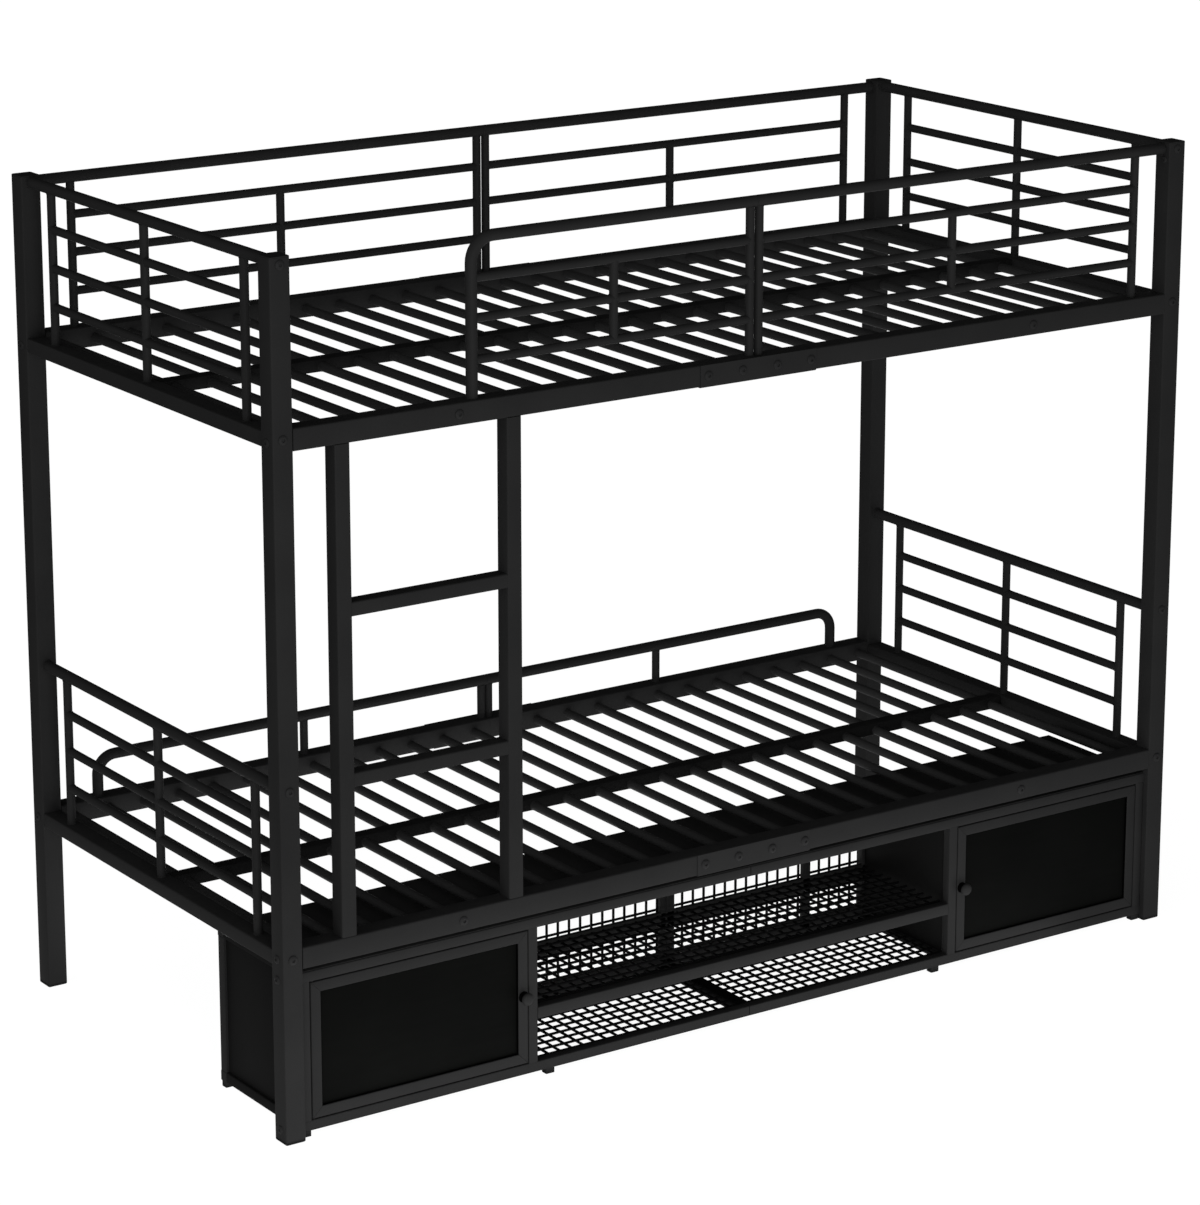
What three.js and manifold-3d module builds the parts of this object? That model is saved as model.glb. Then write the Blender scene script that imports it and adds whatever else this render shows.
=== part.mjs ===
// Metal bunk bed with a low cabinet between its front posts.
// Millimetres, +Z up, +X along the bed, with the ladder and the cabinet at the front (-Y).
// The origin is at floor level, under the middle of the whole object.
import * as THREE from 'three';
import { mergeVertices } from 'three/addons/utils/BufferGeometryUtils.js';
import Module from 'manifold-3d';

const wasm = await Module();
wasm.setup();

// Driving dimensions of the bed
const LENGTH = 2080;              // over the posts
const WIDTH = 976;                // over the posts
const HEIGHT = 1626;              // floor to the top of the post caps
const LOWER_RAIL_Z = 350;         // centre height of the lower side rails
const POST = 41;                  // square tube of the posts and the side rails
const POST_WALL = 1.6;
const POST_CORNER = 3;
const CAP_THICK = 3;
const FOOT_THICK = 4;
const PLUG_DEPTH = 14;
const FIT = 0.3;                  // gap between pieces that touch

// Welded end panels
const END_RAIL_WIDE = 38;
const END_RAIL_TALL = 28.5;
const END_RAIL_DROP = 1.2;        // its centre below the side rail's centre
const END_RAIL_INSET = 2;
const END_RAIL_CORNER = 3;
const FRAME_TUBE = 22;            // top tubes of the panels and guards
const BAR_TUBE = 16.8;            // uprights and thin bars
const PANEL_TOP_DROP = 13;        // top tube's centre below the top of the posts
const PANEL_TOP_RISE = 312.2;     // top tube's centre above the side rail's centre
const PANEL_BAR_RISES = [235, 160.8, 86.1];
const PANEL_UPRIGHT_INSET = 82.7; // outer uprights from the posts' inner faces

// Splice plates over the joint in each side rail
const SPLICE_LONG = 266;
const SPLICE_THICK = 1.2;

// Slatted decks
const BEAM_WIDE = 30;
const BEAM_TALL = 25;
const BEAM_CORNER = 2.5;
const SLAT_TUBE = 18;
const SLAT_PITCH = 77.8;
const SLAT_END_SPACE = 3;         // least gap between the last slat and the end rail
const SLAT_DROP = 2.5;            // slat centre below the side rail's centre

// Guards of the upper bed
const GUARD_TOP_RISE = 310.5;     // above the upper side rail's centre
const GUARD_BAR_RISES = [238, 164.8, 89.2];
const GUARD_END_INSET = 72;       // end upright from the post's inner face
const GUARD_MEET = 10.4;          // middle upright from the joint between the halves
const ACCESS_GAP = 378.5;         // front left post's inner face to the bent tube's centre
const GUARD_BEND_R = 46;

// Low guard behind the lower bed
const LOW_GUARD_RISE = 100.2;
const LOW_GUARD_INSET = 91;       // bent ends from the posts' inner faces
const LOW_GUARD_BEND_R = 38;
const LOW_GUARD_UPRIGHT_X = 437.4;
const LOW_GUARD_MEET = 9;

// Ladder
const LADDER_INSET = 82.2;        // front left post's inner face to the ladder
const LADDER_SPAN = 388.2;        // over the uprights
const LADDER_WIDE = 31.2;
const LADDER_DEEP = 35;
const LADDER_CORNER = 3;
const LOW_RUNG_RISE = 312.3;      // above the lower side rail's centre
const HIGH_RUNG_DROP = 322.8;     // below the upper side rail's centre
const RUNG_TALL = 26.5;
const RUNG_DEEP = 33;

// Cabinet
const CAB_FRONT_BACKSET = 13;     // its front behind the posts' front
const CAB_DEEP = 300;
const CAB_FOOT_TALL = 11.4;
const CAB_FOOT_DEEP = 16;
const CAB_FOOT_WIDE = 19.4;
const CAB_TOP_Z = 317;
const CAB_TUBE = 20;
const CAB_CORNER = 2;
const BAY_HALF = 490;             // half width of the open bay
const BAY_FOOT_INSET = 29;        // foot's centre from the bay's side
const REAR_BAR_INSET = 142;       // rear bar's centre from the bay's side
const REAR_BAR_WIDE = 20;
const REAR_BAR_DEEP = 10;
const REAR_MID_WIDE = 28;
const SIDE_SHEET_INSET = 6;       // sheets of the sides behind the tubes' faces
const SIDE_SHEET_LAP = 5;
const SHEET = 1.2;
const TRAY_DROP = 3;              // tray floor below the bottom rails' top
const SHELF_Z = 127.5;            // centre of the shelf's edge bars
const SHELF_TALL = 23;
const SHELF_REAR_TALL = 35;       // bar under the shelf's rear edge
const REAR_LOW_RISE = 19;         // low bar of the bay's back above the bottom rail

// Wire mesh of the bay
const MESH_PITCH = 52.5;
const MESH_WIRE = 2.4;

// Doors
const DOOR_GAP = 1.5;
const DOOR_FRAME = 21;            // width of the frame's members
const DOOR_CORNER = 3;
const DOOR_PANEL_BACKSET = 6;
const DOOR_PANEL_THICK = 1.5;
const PIVOT_IN = 5;               // pivot axis from the door's outer edge
const PIVOT_BACK = 4.2;           // pivot axis behind the door's front face
const PIVOT_PIN = 4;
const PIVOT_REACH = 7;            // how far the pins enter the rails
const KNOB_HEAD = 24;
const KNOB_HEAD_TALL = 10;
const KNOB_STEM = 9;
const KNOB_BASE = 15;
const KNOB_BASE_TALL = 2;
const KNOB_OUT = 26.2;

// Facets of the round forms
const FRAME_SIDES = 10;
const BAR_SIDES = 8;
const PIN_SIDES = 8;
const KNOB_SIDES = 16;
const BEND_STEPS = 5;

// Places worked out from the driving dimensions
const xOut = LENGTH / 2;
const yOut = WIDTH / 2;
const xIn = xOut - POST;
const yIn = yOut - POST;
const postX = xOut - POST / 2;
const postY = yOut - POST / 2;
const upperRailZ = HEIGHT - PANEL_TOP_DROP - PANEL_TOP_RISE;
const railHalf = POST / 2;
const betweenPostsX = xIn - FIT;
const betweenPostsY = yIn - FIT;
const endRailMidX = xOut - END_RAIL_INSET - END_RAIL_WIDE / 2;
const endRailInX = xOut - END_RAIL_INSET - END_RAIL_WIDE;
const levels = [['upper', upperRailZ], ['lower', LOWER_RAIL_Z]];
const halves = [['left', -1], ['right', 1]];

const cabFrontY = -yOut + CAB_FRONT_BACKSET;
const cabRearY = cabFrontY + CAB_DEEP;
const cabSideX = xIn - FIT;
const cabBehindFrontY = cabFrontY + CAB_TUBE + FIT;
const cabBeforeRearY = cabRearY - CAB_TUBE - FIT;
const lowRailZ = CAB_FOOT_TALL + CAB_TUBE / 2;
const topRailZ = CAB_TOP_Z - CAB_TUBE / 2;
const openLowZ = CAB_FOOT_TALL + CAB_TUBE;
const openTopZ = CAB_TOP_Z - CAB_TUBE;
const shelfTopZ = SHELF_Z + SHELF_TALL / 2;
const boxInX = BAY_HALF + CAB_TUBE;
const boxOutX = cabSideX - CAB_TUBE;
const knobTipY = cabFrontY - FIT - KNOB_OUT;
const spliceOutY = yOut + FIT + SPLICE_THICK;

const powderCoat = new THREE.MeshStandardMaterial({ color: 0x1d1d1e, roughness: 0.5, metalness: 0.35 });
const slatCoat = new THREE.MeshStandardMaterial({ color: 0x1b1b1c, roughness: 0.5, metalness: 0.35 });
const sheetCoat = new THREE.MeshStandardMaterial({ color: 0x18181a, roughness: 0.6, metalness: 0.3 });
const doorPanelCoat = new THREE.MeshStandardMaterial({ color: 0x0e0f0f, roughness: 0.8, metalness: 0.1 });
const wireCoat = new THREE.MeshStandardMaterial({ color: 0x141415, roughness: 0.5, metalness: 0.4 });
const blackPlastic = new THREE.MeshStandardMaterial({ color: 0x151515, roughness: 0.6, metalness: 0 });

// The bed's own middle lies a little behind the middle of the object, because the knobs stand out
const object = new THREE.Group();
const bed = new THREE.Group();
bed.position.y = (-knobTipY - spliceOutY) / 2;
object.add(bed);

// Turns a closed geometry into a solid that can be joined and cut
function solid(geometry) {
  const bare = geometry.clone();
  bare.deleteAttribute('normal');
  bare.deleteAttribute('uv');
  const merged = mergeVertices(bare, 1e-4);
  return new wasm.Manifold(new wasm.Mesh({
    numProp: 3,
    vertProperties: new Float32Array(merged.attributes.position.array),
    triVerts: new Uint32Array(merged.index.array),
  }));
}

function geometryOf(body) {
  const mesh = body.getMesh();
  const positions = new Float32Array(mesh.numVert * 3);
  for (let i = 0; i < mesh.numVert; i += 1) {
    for (let k = 0; k < 3; k += 1) {
      positions[3 * i + k] = mesh.vertProperties[i * mesh.numProp + k];
    }
  }
  const geometry = new THREE.BufferGeometry();
  geometry.setAttribute('position', new THREE.BufferAttribute(positions, 3));
  geometry.setIndex(new THREE.BufferAttribute(new Uint32Array(mesh.triVerts), 1));
  geometry.computeVertexNormals();
  return geometry;
}

function join(bodies) {
  return bodies.reduce((whole, body) => whole.add(body));
}

function addPiece(name, body, material) {
  const mesh = new THREE.Mesh(geometryOf(body), material);
  mesh.name = name;
  bed.add(mesh);
}

function ordered(a, b) {
  return [Math.min(a, b), Math.max(a, b)];
}

// Points of a rectangle with rounded corners, centred on the origin
function roundedOutline(wide, tall, corner, facets) {
  const points = [];
  const signs = [[1, 1], [-1, 1], [-1, -1], [1, -1]];
  signs.forEach(([sx, sy], quarter) => {
    for (let i = 0; i <= facets; i += 1) {
      const angle = (Math.PI / 2) * (quarter + i / facets);
      points.push(new THREE.Vector2(
        sx * (wide / 2 - corner) + corner * Math.cos(angle),
        sy * (tall / 2 - corner) + corner * Math.sin(angle)));
    }
  });
  return points;
}

// Points of a round bar's section: its facets lie as far inside the circle as its corners lie outside
function roundOutline(diameter, sides) {
  const reach = diameter / 2 / Math.sqrt(Math.cos(Math.PI / sides));
  return Array.from({ length: sides }, (_, i) => {
    const angle = (2 * Math.PI * (i + 0.5)) / sides;
    return new THREE.Vector2(reach * Math.cos(angle), reach * Math.sin(angle));
  });
}

// Runs a section along x, y or z. Its centre (a, b) is given as (y, z), (z, x) or (x, y).
function run(outline, axis, from, to, a, b, hole = null) {
  const shape = new THREE.Shape(outline);
  if (hole) {
    shape.holes.push(new THREE.Path(hole));
  }
  const geometry = new THREE.ExtrudeGeometry(shape, { depth: to - from, bevelEnabled: false });
  geometry.translate(a, b, from);
  const along = {
    x: [new THREE.Vector3(0, 1, 0), new THREE.Vector3(0, 0, 1), new THREE.Vector3(1, 0, 0)],
    y: [new THREE.Vector3(0, 0, 1), new THREE.Vector3(1, 0, 0), new THREE.Vector3(0, 1, 0)],
    z: [new THREE.Vector3(1, 0, 0), new THREE.Vector3(0, 1, 0), new THREE.Vector3(0, 0, 1)],
  }[axis];
  geometry.applyMatrix4(new THREE.Matrix4().makeBasis(...along));
  return solid(geometry);
}

// Square or rectangular tube, filled where no wall is given
function boxTube(axis, from, to, a, b, wide, tall, corner, { facets = 2, wall = 0 } = {}) {
  const outline = roundedOutline(wide, tall, corner, facets);
  const hole = wall > 0
    ? roundedOutline(wide - 2 * wall, tall - 2 * wall, Math.max(corner - wall, corner / 4), facets)
    : null;
  return run(outline, axis, from, to, a, b, hole);
}

function roundTube(axis, from, to, a, b, diameter, sides = BAR_SIDES) {
  return run(roundOutline(diameter, sides), axis, from, to, a, b);
}

function block(x0, x1, y0, y1, z0, z1) {
  const geometry = new THREE.BoxGeometry(x1 - x0, y1 - y0, z1 - z0);
  geometry.translate((x0 + x1) / 2, (y0 + y1) / 2, (z0 + z1) / 2);
  return solid(geometry);
}

// Line of a tube that stands up, bends over by a quarter turn and runs on level
class BentLine extends THREE.Curve {
  constructor(foot, end, radius) {
    super();
    const side = Math.sign(end.x - foot.x);
    const centreX = foot.x + side * radius;
    const centreZ = end.z - radius;
    this.stations = [{ at: foot, heading: new THREE.Vector3(0, 0, 1) }];
    for (let i = 0; i <= BEND_STEPS; i += 1) {
      const angle = (Math.PI / 2) * (i / BEND_STEPS);
      const cos = Math.cos(angle);
      const sin = Math.sin(angle);
      this.stations.push({
        at: new THREE.Vector3(centreX - side * radius * cos, foot.y, centreZ + radius * sin),
        heading: new THREE.Vector3(side * sin, 0, cos),
      });
    }
    this.stations.push({ at: end, heading: new THREE.Vector3(side, 0, 0) });
  }

  station(u) {
    return this.stations[Math.round(u * (this.stations.length - 1))];
  }

  getPointAt(u) {
    return this.station(u).at.clone();
  }

  getTangentAt(u) {
    return this.station(u).heading.clone();
  }
}

function bentTube(footX, footZ, endX, topZ, y, radius, diameter) {
  const line = new BentLine(
    new THREE.Vector3(footX, y, footZ), new THREE.Vector3(endX, y, topZ), radius);
  return solid(new THREE.ExtrudeGeometry(
    new THREE.Shape(roundOutline(diameter, FRAME_SIDES)),
    { steps: line.stations.length - 1, extrudePath: line }));
}

// Posts, with a cap plugged into the top and a foot into the bottom
function addPosts() {
  const plug = POST - 2 * POST_WALL - 2 * FIT;
  const plugCorner = Math.max(POST_CORNER - POST_WALL, POST_CORNER / 4);
  const bottom = FOOT_THICK + FIT;
  const top = HEIGHT - CAP_THICK - FIT;
  for (const [side, sx] of halves) {
    for (const [face, sy] of [['front', -1], ['rear', 1]]) {
      const place = `${face}_${side}`;
      const x = sx * postX;
      const y = sy * postY;
      addPiece(`post_${place}`, boxTube(
        'z', bottom, top, x, y, POST, POST, POST_CORNER, { wall: POST_WALL }), powderCoat);
      addPiece(`post_cap_${place}`, join([
        boxTube('z', HEIGHT - CAP_THICK, HEIGHT, x, y, POST, POST, POST_CORNER),
        boxTube('z', HEIGHT - CAP_THICK - PLUG_DEPTH, HEIGHT - CAP_THICK / 2, x, y, plug, plug, plugCorner,
          { facets: 1 }),
      ]), blackPlastic);
      addPiece(`post_foot_${place}`, join([
        boxTube('z', 0, FOOT_THICK, x, y, POST, POST, POST_CORNER),
        boxTube('z', FOOT_THICK / 2, FOOT_THICK + PLUG_DEPTH, x, y, plug, plug, plugCorner, { facets: 1 }),
      ]), blackPlastic);
    }
  }
}

// Side rails in two halves, with a splice plate over each joint
function addSideRails() {
  for (const [level, z] of levels) {
    for (const [face, sy] of [['front', -1], ['rear', 1]]) {
      for (const [half, sx] of halves) {
        const [x0, x1] = ordered((sx * FIT) / 2, sx * betweenPostsX);
        addPiece(`${level}_${face}_rail_${half}`, boxTube(
          'x', x0, x1, sy * postY, z, POST, POST, POST_CORNER, { wall: POST_WALL }), powderCoat);
      }
      const x = SPLICE_LONG / 2;
      const under = z - railHalf - FIT;
      const [y0, y1] = ordered(sy * (yOut + FIT), sy * spliceOutY);
      const [y2, y3] = ordered(sy * spliceOutY, sy * (yIn + POST_CORNER));
      addPiece(`${level}_${face}_splice`, join([
        block(-x, x, y0, y1, under - SPLICE_THICK, z + railHalf),
        block(-x, x, y2, y3, under - SPLICE_THICK, under),
      ]), powderCoat);
    }
  }
}

// Welded head and foot panels: a flat rail, three uprights, three bars and a top tube
function addEndPanels() {
  const reach = betweenPostsY;
  const upright = yIn - PANEL_UPRIGHT_INSET;
  for (const [level, railZ] of levels) {
    for (const [side, sx] of halves) {
      const x = sx * postX;
      const topZ = railZ + PANEL_TOP_RISE;
      addPiece(`${level}_${side}_end_panel`, join([
        boxTube('y', -reach, reach, railZ - END_RAIL_DROP, sx * endRailMidX, END_RAIL_TALL, END_RAIL_WIDE,
          END_RAIL_CORNER),
        roundTube('y', -reach, reach, topZ, x, FRAME_TUBE, FRAME_SIDES),
        ...[-upright, 0, upright].map((y) => roundTube('z', railZ, topZ, x, y, BAR_TUBE)),
        ...PANEL_BAR_RISES.map((rise) => roundTube('y', -upright, upright, railZ + rise, x, BAR_TUBE)),
      ]), powderCoat);
    }
  }
}

// The guards' three thin bars, tied by a short upright half way along
function guardBars(x0, x1, y) {
  const heights = GUARD_BAR_RISES.map((rise) => upperRailZ + rise);
  return [
    ...heights.map((z) => roundTube('x', x0, x1, y, z, BAR_TUBE)),
    roundTube('z', Math.min(...heights), Math.max(...heights), (x0 + x1) / 2, y, BAR_TUBE),
  ];
}

function addUpperGuards() {
  const foot = upperRailZ + railHalf + FIT;
  const topZ = upperRailZ + GUARD_TOP_RISE;
  const endX = xIn - GUARD_END_INSET;
  for (const [name, sx, y] of [
    ['upper_rear_guard_left', -1, postY], ['upper_rear_guard_right', 1, postY],
    ['upper_front_guard_right', 1, -postY],
  ]) {
    const [x0, x1] = ordered(sx * FIT, sx * betweenPostsX);
    const [x2, x3] = ordered(sx * GUARD_MEET, sx * endX);
    addPiece(name, join([
      roundTube('x', x0, x1, y, topZ, FRAME_TUBE, FRAME_SIDES),
      roundTube('z', foot, topZ, x2, y, BAR_TUBE),
      roundTube('z', foot, topZ, x3, y, BAR_TUBE),
      ...guardBars(x2, x3, y),
    ]), powderCoat);
  }
  const bendX = -xIn + ACCESS_GAP;
  addPiece('upper_front_guard_left', join([
    bentTube(bendX, foot, -FIT, topZ, -postY, GUARD_BEND_R, FRAME_TUBE),
    roundTube('z', foot, topZ, -GUARD_MEET, -postY, BAR_TUBE),
    ...guardBars(bendX, -GUARD_MEET, -postY),
  ]), powderCoat);
}

function addLowerGuard() {
  const foot = LOWER_RAIL_Z + railHalf + FIT;
  const topZ = LOWER_RAIL_Z + LOW_GUARD_RISE;
  for (const [half, sx] of halves) {
    addPiece(`lower_rear_guard_${half}`, join([
      bentTube(sx * (xIn - LOW_GUARD_INSET), foot, sx * FIT, topZ, postY, LOW_GUARD_BEND_R, FRAME_TUBE),
      roundTube('z', foot, topZ, sx * LOW_GUARD_UPRIGHT_X, postY, BAR_TUBE),
      roundTube('z', foot, topZ, sx * LOW_GUARD_MEET, postY, BAR_TUBE),
    ]), powderCoat);
  }
}

// Each half of a deck: a centre beam with the slats welded through it
function addDecks() {
  const reach = betweenPostsY;
  const lastX = endRailInX - SLAT_TUBE / 2 - SLAT_END_SPACE;
  const count = Math.floor(lastX / SLAT_PITCH + 0.5);
  for (const [level, railZ] of levels) {
    for (const [half, sx] of halves) {
      const [x0, x1] = ordered((sx * FIT) / 2, sx * (endRailInX - FIT));
      const slats = Array.from({ length: count }, (_, i) => roundTube(
        'y', -reach, reach, railZ - SLAT_DROP, sx * SLAT_PITCH * (i + 0.5), SLAT_TUBE));
      addPiece(`${level}_deck_${half}`, join([
        boxTube('x', x0, x1, 0, railZ, BEAM_WIDE, BEAM_TALL, BEAM_CORNER, { facets: 1 }),
        ...slats,
      ]), slatCoat);
    }
  }
}

// Ladder between the two front rails: two uprights with the rungs welded between them
function addLadder() {
  const y = -yOut + LADDER_DEEP / 2;
  const foot = LOWER_RAIL_Z + railHalf + FIT;
  const top = upperRailZ - railHalf - FIT;
  const leftX = -xIn + LADDER_INSET + LADDER_WIDE / 2;
  const rightX = leftX + LADDER_SPAN - LADDER_WIDE;
  const pieces = [leftX, rightX].map((x) => boxTube(
    'z', foot, top, x, y, LADDER_WIDE, LADDER_DEEP, LADDER_CORNER));
  for (const z of [LOWER_RAIL_Z + LOW_RUNG_RISE, upperRailZ - HIGH_RUNG_DROP]) {
    pieces.push(boxTube('x', leftX, rightX, y, z, RUNG_DEEP, RUNG_TALL, LADDER_CORNER));
  }
  addPiece('ladder', join(pieces), powderCoat);
}

function cabTube(axis, from, to, a, b, wide = CAB_TUBE, tall = CAB_TUBE) {
  return boxTube(axis, from, to, a, b, wide, tall, CAB_CORNER, { facets: 1 });
}

function pivotX(sx) {
  return sx * (boxOutX - DOOR_GAP - PIVOT_IN);
}

const pivotY = cabFrontY + PIVOT_BACK;

// Bottom and top rail, the two uprights beside the door opening and the feet
function cabinetFrame(sx, y) {
  const [x0, x1] = ordered((sx * FIT) / 2, sx * cabSideX);
  const uprights = [cabSideX - CAB_TUBE / 2, BAY_HALF + CAB_TUBE / 2];
  const feet = [cabSideX - CAB_TUBE / 2, BAY_HALF - BAY_FOOT_INSET];
  return join([
    cabTube('x', x0, x1, y, lowRailZ),
    cabTube('x', x0, x1, y, topRailZ),
    ...uprights.map((x) => cabTube('z', lowRailZ, topRailZ, sx * x, y)),
    ...feet.map((x) => cabTube('z', 0, lowRailZ, sx * x, y, CAB_FOOT_WIDE, CAB_FOOT_DEEP)),
  ]);
}

// Front and rear frames of the cabinet, in halves that meet under the middle of the bed
function addCabinetFrames() {
  const rearBarY = cabRearY - CAB_TUBE + REAR_BAR_DEEP / 2;
  for (const [half, sx] of halves) {
    const hole = (z0, z1) => roundTube('z', z0, z1, pivotX(sx), pivotY, PIVOT_PIN + 4 * FIT, PIN_SIDES);
    addPiece(`cabinet_front_frame_${half}`, cabinetFrame(sx, cabFrontY + CAB_TUBE / 2)
      .subtract(hole(openLowZ - PIVOT_REACH - FIT, openLowZ + DOOR_GAP))
      .subtract(hole(openTopZ - DOOR_GAP, openTopZ + PIVOT_REACH + FIT)), powderCoat);
    const midWide = (REAR_MID_WIDE - FIT) / 2;
    const [x0, x1] = ordered((sx * FIT) / 2, sx * (BAY_HALF + CAB_TUBE / 2));
    const bars = [
      cabTube('z', lowRailZ, topRailZ, sx * (FIT / 2 + midWide / 2), rearBarY, midWide, REAR_BAR_DEEP),
      cabTube('z', lowRailZ, topRailZ, sx * (BAY_HALF - REAR_BAR_INSET), rearBarY, REAR_BAR_WIDE, REAR_BAR_DEEP),
      cabTube('x', x0, x1, rearBarY, shelfTopZ - SHELF_REAR_TALL / 2, REAR_BAR_DEEP, SHELF_REAR_TALL),
      cabTube('x', x0, x1, rearBarY, openLowZ + REAR_LOW_RISE / 2 - CAB_CORNER,
        REAR_BAR_DEEP, REAR_LOW_RISE + 2 * CAB_CORNER),
    ];
    addPiece(`cabinet_rear_frame_${half}`, join([cabinetFrame(sx, cabRearY - CAB_TUBE / 2), ...bars]), powderCoat);
  }
}

// Closed sides, at the posts and beside the bay: a top and a bottom tube with a sheet between them
function addCabinetSides() {
  const [y0, y1] = [cabBehindFrontY, cabBeforeRearY];
  for (const [half, sx] of halves) {
    for (const [name, faceX, towards] of [
      [`cabinet_side_${half}`, cabSideX, -1], [`bay_side_${half}`, BAY_HALF, 1],
    ]) {
      const midX = sx * (faceX + (towards * CAB_TUBE) / 2);
      const outside = sx * (faceX + towards * SIDE_SHEET_INSET);
      const [x0, x1] = ordered(outside, outside + sx * towards * SHEET);
      addPiece(name, join([
        cabTube('y', y0, y1, lowRailZ, midX),
        cabTube('y', y0, y1, topRailZ, midX),
        block(x0, x1, y0, y1, openLowZ - SIDE_SHEET_LAP, openTopZ + SIDE_SHEET_LAP),
      ]), sheetCoat);
    }
  }
}

// Floor and back of each closed box in one folded sheet, and the sheet over the whole cabinet
function addCabinetSheets() {
  const floorZ = openLowZ - TRAY_DROP;
  for (const [half, sx] of halves) {
    const [x0, x1] = ordered(sx * (boxInX + FIT), sx * (boxOutX - FIT));
    addPiece(`${half}_box_tray`, join([
      block(x0, x1, cabBehindFrontY, cabBeforeRearY, floorZ, floorZ + SHEET),
      block(x0, x1, cabBeforeRearY - SHEET, cabBeforeRearY, floorZ, CAB_TOP_Z - FIT),
    ]), sheetCoat);
  }
  addPiece('cabinet_top_sheet', block(
    -cabSideX, cabSideX, cabFrontY + CAB_CORNER, cabRearY, CAB_TOP_Z + FIT, CAB_TOP_Z + FIT + SHEET), sheetCoat);
}

// Wires of a grid over one field, at an even pitch about its middle
function wireGrid(u0, u1, v0, v1, wire) {
  const half = MESH_WIRE / 2;
  const places = (low, high) => {
    const gaps = Math.round((high - low) / MESH_PITCH);
    return Array.from({ length: gaps - 1 }, (_, i) => low + ((high - low) * (i + 1)) / gaps);
  };
  return [
    ...places(u0, u1).map((u) => wire(u - half, u + half, v0, v1)),
    ...places(v0, v1).map((v) => wire(u0, u1, v - half, v + half)),
  ];
}

// Mesh floor, shelf and back of the open bay
function addBayMesh() {
  const sideX = BAY_HALF - FIT;
  const [y0, y1] = [cabBehindFrontY, cabBeforeRearY];
  const level = (z) => (x2, x3, y2, y3) => block(x2, x3, y2, y3, z - MESH_WIRE, z);
  const cross = REAR_MID_WIDE / 2;
  addPiece('bay_floor_mesh', join([
    cabTube('y', y0, y1, lowRailZ, 0, CAB_TUBE, REAR_MID_WIDE),
    ...wireGrid(-sideX, -cross + CAB_CORNER, y0, y1, level(openLowZ - CAB_CORNER)),
    ...wireGrid(cross - CAB_CORNER, sideX, y0, y1, level(openLowZ - CAB_CORNER)),
  ]), wireCoat);
  addPiece('bay_shelf', join([
    cabTube('x', -sideX, sideX, cabFrontY + CAB_TUBE / 2, SHELF_Z, CAB_TUBE, SHELF_TALL),
    ...wireGrid(-sideX, sideX, y0 - CAB_CORNER, y1, level(SHELF_Z + SHELF_TALL / 2 - CAB_CORNER)),
  ]), wireCoat);
  const backY = cabRearY - CAB_TUBE + REAR_BAR_DEEP + FIT;
  const standing = (x2, x3, z2, z3) => block(x2, x3, backY, backY + MESH_WIRE, z2, z3);
  addPiece('bay_back_mesh', join(wireGrid(
    -sideX, sideX, openLowZ + FIT, openTopZ - FIT, standing)), wireCoat);
}

// Mushroom knob, turned about an axis along Y, its foot on the door's face
function knob(x, faceY, z) {
  const rim = KNOB_HEAD / 2;
  const stem = KNOB_STEM / 2;
  const neckZ = KNOB_OUT - KNOB_HEAD_TALL;
  const profile = [
    [0, 0], [KNOB_BASE / 2, 0], [KNOB_BASE / 2, KNOB_BASE_TALL], [stem, 2.5 * KNOB_BASE_TALL], [stem, neckZ],
    [0.86 * rim, neckZ], [rim, neckZ + 0.4 * KNOB_HEAD_TALL], [0.9 * rim, neckZ + 0.74 * KNOB_HEAD_TALL],
    [0.6 * rim, neckZ + 0.93 * KNOB_HEAD_TALL], [0, KNOB_OUT],
  ].map(([radius, height]) => new THREE.Vector2(radius, height));
  const geometry = new THREE.LatheGeometry(profile, KNOB_SIDES);
  geometry.rotateX(Math.PI);
  geometry.translate(x, faceY, z);
  return solid(geometry);
}

// Doors: a welded frame with pivot pins at its outer edge, a panel set back in it and a knob
function addDoors() {
  const outX = boxOutX - DOOR_GAP;
  const inX = boxInX + DOOR_GAP;
  const [z0, z1] = [openLowZ + DOOR_GAP, openTopZ - DOOR_GAP];
  const midY = cabFrontY + CAB_TUBE / 2;
  const member = DOOR_FRAME / 2;
  for (const [half, sx] of halves) {
    const [x0, x1] = ordered(sx * inX, sx * outX);
    const upright = (x) => boxTube('z', z0, z1, x, midY, DOOR_FRAME, CAB_TUBE, DOOR_CORNER);
    const level = (z) => boxTube('x', x0 + member, x1 - member, midY, z, CAB_TUBE, DOOR_FRAME, DOOR_CORNER);
    const pin = (from, to) => roundTube('z', from, to, pivotX(sx), pivotY, PIVOT_PIN, PIN_SIDES);
    addPiece(`${half}_door_frame`, join([
      upright(x0 + member), upright(x1 - member), level(z0 + member), level(z1 - member),
      pin(openLowZ - PIVOT_REACH, z0 + member), pin(z1 - member, openTopZ + PIVOT_REACH),
    ]), powderCoat);
    const edge = DOOR_FRAME + FIT;
    const panelY = cabFrontY + DOOR_PANEL_BACKSET;
    addPiece(`${half}_door_panel`, block(
      x0 + edge, x1 - edge, panelY, panelY + DOOR_PANEL_THICK, z0 + edge, z1 - edge), doorPanelCoat);
    addPiece(`${half}_door_knob`, knob(sx * (inX + member), cabFrontY - FIT, (z0 + z1) / 2), powderCoat);
  }
}

addPosts();
addSideRails();
addEndPanels();
addUpperGuards();
addLowerGuard();
addDecks();
addLadder();
addCabinetFrames();
addCabinetSides();
addCabinetSheets();
addBayMesh();
addDoors();

export default object;
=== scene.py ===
from math import cos, pi, radians, sin

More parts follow.
